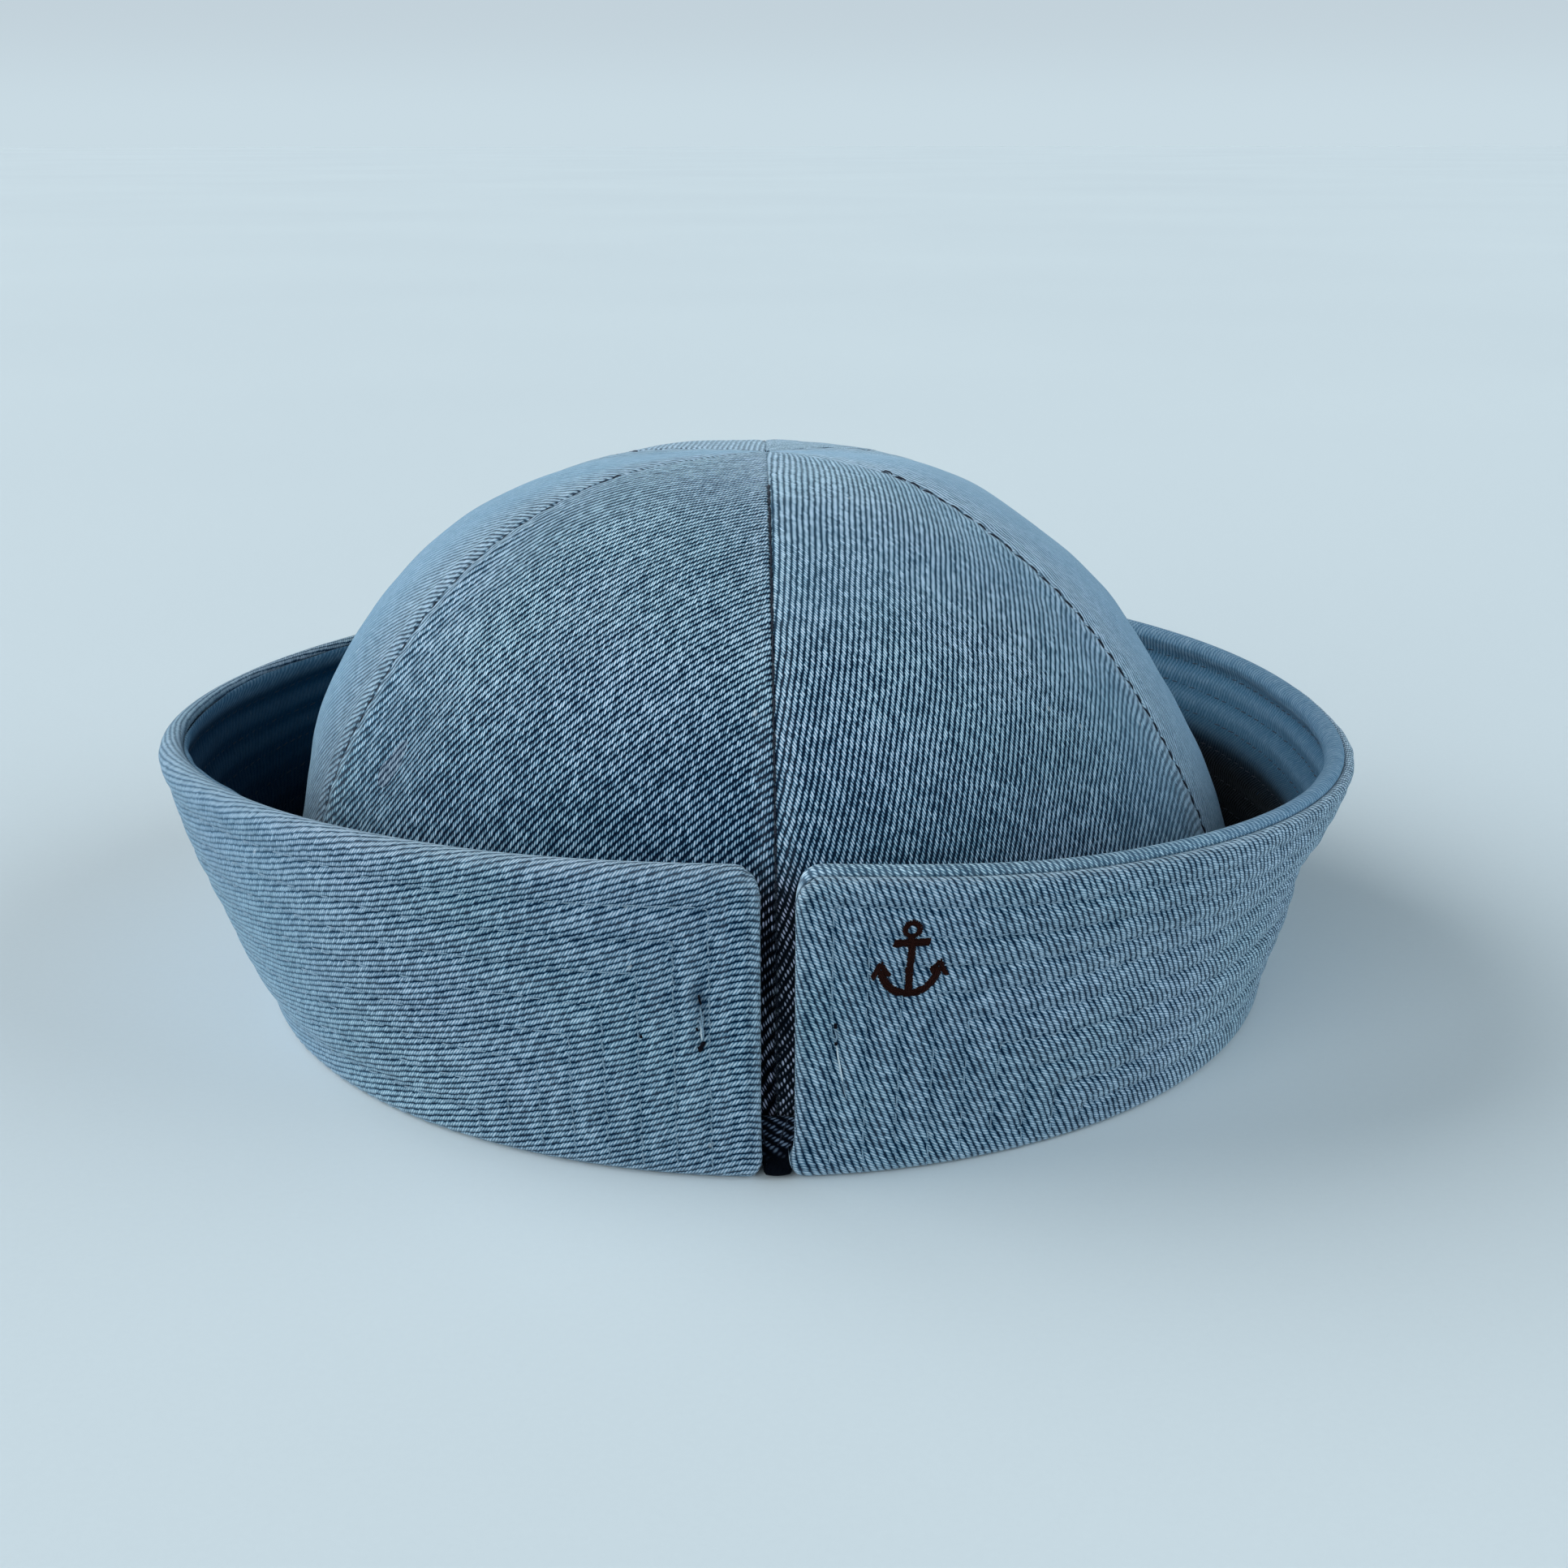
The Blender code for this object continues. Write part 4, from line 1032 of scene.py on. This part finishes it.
# ---- stitching along the crown's seams ---------------------------------------
def crown_seam_stitching():
    """Dark stitches down in each seam, plainest in the one on the right."""
    bundle = Bundle()
    for k, gore in enumerate(GORES):
        data = panels[gore[0]]
        keep = (data["rise"] > 4.0) & (data["rise"] < 80.0)
        for side in (0, -1):
            plain = (k, side) == (0, -1)
            path = data["outer"][keep][:, side] + data["normal"][keep][:, side] * (0.42 if plain else 0.12)
            stitches(bundle, path, data["normal"][keep][:, side], length=1.9, gap=1.0, radius=0.16, sink=0.0,
                     seed=300 + 2 * k + side, sides=5)
    obj = bundle.piece("crown_seam_stitching", navy_thread)
    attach(obj, "root")


crown_seam_stitching()


# ---- tacks, loose ends and the stitched motif --------------------------------
def on_face(angle, z, lift=0.0):
    """Points a little above the outer ply's shown face, at angles and heights."""
    angle, z = np.broadcast_arrays(np.asarray(angle, float) % 360.0, np.asarray(z, float))
    points, normal = outer["points"], outer["normal"]
    station = np.interp(angle, outer["angle"], np.arange(len(outer["angle"])))
    out = []
    for s, height in zip(station.ravel(), z.ravel()):
        s0 = min(int(s), len(outer["angle"]) - 2)
        t = s - s0
        line = (1.0 - t) * points[:, s0] + t * points[:, s0 + 1]
        lean = (1.0 - t) * normal[:, s0] + t * normal[:, s0 + 1]
        rows = np.arange(len(line))
        first = int(np.argmax(line[:, 2] > 2.5))
        r = np.interp(height, line[first:outer["base"], 2], rows[first:outer["base"]])
        p = np.array([np.interp(r, rows, line[:, c]) for c in range(3)])
        n = np.array([np.interp(r, rows, lean[:, c]) for c in range(3)])
        out.append(p + n / np.linalg.norm(n) * lift)
    return np.array(out)


def strand(bundle, ends, lift, radius, bow=0.0, wave=0.0, seed=0, points=9):
    """A loose thread over the cloth between (angle, z) marks."""
    rng = np.random.default_rng(seed)
    t = np.linspace(0.0, 1.0, points)
    marks = np.array(ends)
    at = np.linspace(0.0, 1.0, len(marks))
    a, z = (np.interp(t, at, marks[:, c]) for c in (0, 1))
    a = a + bow * np.sin(math.pi * t) + wave * np.sin(t * 9.0 + seed) * 0.6
    z = z + wave * rng.uniform(-1.0, 1.0, points) * 0.8
    high = lift * (0.25 + 0.75 * np.sin(math.pi * np.clip(t, 0.03, 0.97)))
    p = np.stack([on_face(a[k], z[k], high[k])[0] for k in range(points)])
    fat = radius * np.clip(np.minimum(t, 1.0 - t) * 12.0, 0.4, 1.0)
    bundle.add(*tube(p, fat, 6))


def tacks():
    pale, bright, dark = Bundle(), Bundle(), Bundle()
    # left: a torn tack, its tangle and the knot that held it
    strand(dark, ((-6.90, 30.4), (-6.84, 29.6), (-6.70, 28.8)), 0.02, 0.17, seed=11)
    strand(pale, ((-6.75, 28.6), (-6.66, 27.0), (-6.80, 25.4)), 0.30, 0.14, wave=0.03, seed=3)
    strand(pale, ((-6.95, 26.6), (-6.66, 25.6), (-6.5, 24.4), (-6.62, 23.2)), 0.42, 0.19, wave=0.03, seed=4, points=12)
    strand(pale, ((-6.5, 27.2), (-6.6, 25.6), (-6.8, 24.0)), 0.34, 0.15, seed=5)
    strand(bright, ((-6.72, 25.8), (-6.70, 24.4), (-6.62, 23.2)), 0.50, 0.13, seed=6)
    strand(dark, ((-6.98, 21.9), (-6.72, 22.3), (-6.42, 23.0)), 0.34, 0.30, seed=7)
    strand(dark, ((-6.90, 21.5), (-6.62, 22.0)), 0.22, 0.24, seed=8)
    strand(dark, ((-7.15, 25.2), (-7.02, 24.6)), 0.06, 0.17, seed=13)
    # right: two needle holes, their shade painted as short black stubs, and the loose end below them
    strand(dark, ((4.98, 26.0), (5.02, 25.1)), 0.04, 0.30, seed=14)
    strand(dark, ((5.06, 22.9), (5.10, 22.3)), 0.04, 0.26, seed=15)
    strand(pale, ((4.95, 24.9), (5.12, 23.8), (5.02, 22.9)), 0.22, 0.12, seed=16)
    strand(bright, ((5.14, 22.3), (5.25, 20.6), (5.48, 18.4), (5.68, 16.6)), 0.30, 0.15, seed=9, points=14)
    strand(pale, ((5.68, 16.8), (5.85, 15.0), (6.1, 13.6)), 0.14, 0.11, seed=10)
    # a speck further round
    strand(dark, ((-12.15, 23.5), (-12.0, 23.0)), 0.04, 0.20, seed=17)
    for bundle, name, material in ((pale, "tack_threads", pale_thread), (bright, "loose_threads", bright_thread),
                                   (dark, "tack_knots_and_hole_shade", black_thread)):
        obj = bundle.piece(name, material)
        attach(obj, "root")


tacks()


def motif():
    """A small plain anchor in satin stitch on the right flap."""
    rng = np.random.default_rng(12)
    bundle = Bundle()
    middle, level = 11.3, 35.6

    def arc(cx, cy, r, a0, a1, count, squash=1.0):
        a = np.radians(np.linspace(a0, a1, count))
        return [(cx + r * math.cos(t), cy + r * squash * math.sin(t)) for t in a]

    strokes = (
        (arc(0.0, 5.35, 1.15, -90.0, 262.0, 24), 0.75),
        ([(-2.7, 3.15), (2.7, 3.15)], 1.0),
        ([(0.0, 4.2), (0.0, -5.3)], 1.05),
        (arc(0.0, -0.6, 4.7, 188.0, 352.0, 26, 1.04), 1.15),
        ([(-5.9, -2.6), (-4.7, -0.2), (-3.4, -2.2)], 0.7),
        ([(5.9, -2.6), (4.7, -0.2), (3.4, -2.2)], 0.7),
    )
    per_degree = math.radians(1.0) * 106.0
    for path, width in strokes:
        path = np.array(path, float)
        seg = np.linalg.norm(np.diff(path, axis=0), axis=1)
        at = np.concatenate([[0.0], np.cumsum(seg)])
        for s in np.arange(0.0, at[-1] + 1e-6, 0.27):
            p = np.array([np.interp(s, at, path[:, c]) for c in (0, 1)])
            q = np.array([np.interp(min(s + 0.2, at[-1]), at, path[:, c]) for c in (0, 1)])
            o = np.array([np.interp(max(s - 0.2, 0.0), at, path[:, c]) for c in (0, 1)])
            d = (q - o) / np.linalg.norm(q - o)
            side = np.array([-d[1], d[0]]) * 0.5 * width * rng.uniform(0.88, 1.12) + d * 0.22
            t = np.linspace(-1.0, 1.0, 7)
            u = p[0] + t * side[0] + rng.uniform(-0.04, 0.04)
            v = p[1] + t * side[1] + rng.uniform(-0.04, 0.04)
            lift = -0.10 + 0.34 * np.sqrt(np.clip(1.0 - t * t, 0.0, 1.0)) * rng.uniform(0.85, 1.1)
            points = np.stack([on_face(middle + u[k] / per_degree, level + v[k] * 0.97, lift[k])[0]
                               for k in range(len(t))])
            bundle.add(*tube(points, 0.155, 5, rng.uniform(0.0, 3.0)))
    obj = bundle.piece("motif_stitching", brown_thread)
    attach(obj, "root")


motif()


# ---- the folded band on the crown's lower edge -------------------------------
def edge_band():
    angle = np.concatenate([np.linspace(-180.0, -7.0, 200, endpoint=False), np.linspace(-7.0, 7.0, 64, endpoint=False),
                            np.linspace(7.0, 180.0, 200, endpoint=False)])
    # painted shadow: where the split leaves it bare, it hangs to the table as a near-black tongue standing for the
    # shadowed floor
    low, high = CROWN_EDGE_Z + 0.05 - 2.6 * bell(angle, 5.0), BAND_TOP_Z
    inner, outer_face = BAND_STAND_OFF, BAND_STAND_OFF + BAND_THICK
    r = 0.5 * BAND_THICK
    mid = 0.5 * (inner + outer_face)
    top = np.full_like(angle, high - r)
    up = [(outer_face, low + r + (top - low - r) * f) for f in np.linspace(0.0, 1.0, 7)]
    cap = [(mid + r * math.cos(math.radians(t)), top + r * math.sin(math.radians(t))) for t in (30, 60, 90, 120, 150)]
    down = [(inner, top + (low + r - top) * f) for f in np.linspace(0.0, 1.0, 4)]
    foot = [(mid + r * math.cos(math.radians(t)), low + r + r * math.sin(math.radians(t))) for t in (210, 240, 270, 300, 330)]
    section = up + cap + down + foot
    rows, dark = [], []
    length = 0.0
    lengths = []
    for k, (o, z) in enumerate(section):
        # at the split its end is pushed forward over the table and painted near black as shadow
        sag = (1.0 - smooth((np.abs(angle) - 1.2) / 0.40)) * (1.0 - smooth((z - 0.2) / 3.0))
        p = brim_points(angle, o + 4.4 * sag * (o - inner + 0.15) / BAND_THICK, z)
        dark.append(np.minimum(0.1 + 3.0 * sag, 1.1))
        rows.append(p)
        if k:
            length += math.hypot(section[k - 1][0] - o, float(np.median(section[k - 1][1] - z)))
        lengths.append(length)
    points = np.stack(rows)
    wave = 0.05 * ripple(points, 6.0, 91)
    centre = np.array([MIDDLE_X, MIDDLE_Y, 0.0])
    radial = points - centre
    radial[..., 2] = 0.0
    radial /= np.linalg.norm(radial, axis=-1, keepdims=True)
    points = points + radial * np.clip(wave, -0.1, 0.1)[..., None]
    n, m = points.shape[:2]
    faces = []
    loops = []
    run = np.radians(angle) * 91.5
    ahead = np.append(run[1:], run[0] + 2.0 * math.pi * 91.5)
    for a in range(n):
        b = (a + 1) % n
        va, vb = lengths[a], lengths[b] if b else length + 0.4
        for c in range(m):
            e = (c + 1) % m
            faces.append((a * m + c, a * m + e, b * m + e, b * m + c))
            x0, x1 = run[c], ahead[c]
            loops += [(x0, va), (x1, va), (x1, vb), (x0, vb)]
    loops = to_yarns(np.array(loops), -20.0)
    obj = make_piece("edge_band_cloth", points.reshape(-1, 3), faces, {"loops": loops}, [band_cloth],
                     None, {"wear_and_light": np.zeros(n * m), "shade": np.stack(dark).ravel()}, sharp=80.0)
    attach(obj, "root")
    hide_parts("edge_band")
    # loops of thread over the band
    bundle = Bundle()
    rng = np.random.default_rng(8)
    for k, a in enumerate(np.arange(-180.0, 180.0, 1.9)):
        lean = rng.uniform(-0.4, 0.4) + (0.8 if k % 2 else -0.8)
        zs = np.linspace(CROWN_EDGE_Z + 0.55, high - 0.3, 6)
        aa = a + lean * (zs - 5.6) / 5.2 * 1.3
        bulge = 0.14 * np.sin(np.linspace(0.15, math.pi - 0.15, 6))
        p = brim_points(aa, np.full(6, outer_face + 0.02) + bulge, zs)
        bundle.add(*tube(p, 0.13, 5))
    t = bundle.piece("edge_band_stitching", navy_thread)
    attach(t, "root")


edge_band()


# ---- camera, floor, light ----------------------------------------------------
def camera():
    data = bpy.data.cameras.new("camera")
    data.sensor_width = 36.0
    data.lens = 36.0 * 2699.03 / 1932.0
    data.clip_start, data.clip_end = 0.01, 20.0
    right = Vector((0.999750306, -0.0223311153, -0.000804369419))
    up = Vector((0.00723099128, 0.289247605, 0.957227003))
    ahead = Vector((0.0211432847, 0.956993806, -0.289336858))
    m = Matrix.Identity(4)
    for r in range(3):
        m[r][0], m[r][1], m[r][2] = right[r], up[r], -ahead[r]
    m.translation = Vector(((-5.621 + MIDDLE_X) * MM, (-397.985 + MIDDLE_Y) * MM, 151.717 * MM))
    obj = bpy.data.objects.new("camera", data)
    obj.matrix_world = m
    bpy.context.scene.collection.objects.link(obj)
    bpy.context.scene.camera = obj


camera()


def floor():
    """Pale paper, wide enough to run out of every view."""
    g = Graph("floor_paper")
    pos = g.node("ShaderNodeTexCoord").outputs["Object"]
    grain = g.noise(pos, 900.0, 3.0, 0.6)
    cloud = g.noise(pos, 1.3, 2.0, 0.5)
    tone = g.math("ADD", g.map(grain, 0.3, 0.7, -0.012, 0.012), g.map(cloud, 0.3, 0.7, -0.03, 0.03))
    base = g.mix(g.math("ADD", 0.5, g.math("MULTIPLY", tone, 8.0)), srgb(197, 211, 218), srgb(205, 219, 225))
    g.put(g.shader.inputs["Base Color"], base)
    g.shader.inputs["Roughness"].default_value = 0.85
    g.shader.inputs["Specular IOR Level"].default_value = 0.12
    profile = [(y, 0.0) for y in (-14.0, -6.0, -2.0, -0.8, -0.3, 0.0, 0.3, 0.8, 2.0, 6.0, 14.0)]
    xs = (-14.0, -6.0, -2.0, -0.8, -0.3, 0.0, 0.3, 0.8, 2.0, 6.0, 14.0)
    verts = [(x, y, z) for y, z in profile for x in xs]
    faces = [tuple(int(v) for v in f) for f in grid_faces(len(profile), len(xs))]
    mesh = bpy.data.meshes.new("floor")
    mesh.from_pydata(verts, [], faces)
    mesh.shade_smooth()
    mesh.materials.append(g.mat)
    obj = bpy.data.objects.new("floor", mesh)
    bpy.context.scene.collection.objects.link(obj)


floor()


def sun(name, azimuth, elevation, strength, spread, colour):
    """Soft even light from one side: azimuth 0 is behind the camera, - to the left."""
    data = bpy.data.lights.new(name, "SUN")
    data.energy = strength
    data.angle = math.radians(spread)
    data.color = colour
    a, e = math.radians(azimuth), math.radians(elevation)
    toward = Vector((math.sin(a) * math.cos(e), -math.cos(a) * math.cos(e), math.sin(e)))
    obj = bpy.data.objects.new(name, data)
    obj.rotation_mode = "QUATERNION"
    obj.rotation_quaternion = toward.to_track_quat("Z", "Y")
    obj.location = toward * 3.0
    bpy.context.scene.collection.objects.link(obj)


sun("window_front", -30.0, 25.0, 1.31, 45.0, (1.0, 1.0, 1.0))
sun("window_left", -106.0, 28.0, 2.90, 62.0, (1.0, 1.0, 1.0))
sun("window_right", 84.0, 25.0, 1.50, 55.0, (0.92, 1.0, 1.06))


def studio():
    """A pale room: bright low down all round, dim overhead."""
    world = bpy.data.worlds.new("studio")
    world.use_nodes = True
    tree = world.node_tree
    background = tree.nodes["Background"]
    where = tree.nodes.new("ShaderNodeTexCoord")
    split = tree.nodes.new("ShaderNodeSeparateXYZ")
    ramp = tree.nodes.new("ShaderNodeValToRGB")
    tree.links.new(where.outputs["Generated"], split.inputs[0])
    tree.links.new(split.outputs["Z"], ramp.inputs["Fac"])
    ramp.color_ramp.interpolation = "EASE"
    e = ramp.color_ramp.elements
    e[0].position, e[0].color = 0.0, srgb(202, 219, 228)
    e[1].position, e[1].color = 0.05, srgb(195, 210, 219)
    for at, colour in ((0.10, srgb(193, 208, 217)), (0.20, srgb(232, 246, 252)), (0.40, srgb(232, 246, 252)),
                       (0.56, srgb(20, 28, 36))):
        e.new(at).color = colour
    tree.links.new(ramp.outputs[0], background.inputs["Color"])
    background.inputs["Strength"].default_value = 1.0
    bpy.context.scene.world = world


studio()
scene = bpy.context.scene
scene.view_settings.view_transform = "Standard"
scene.view_settings.look = "None"
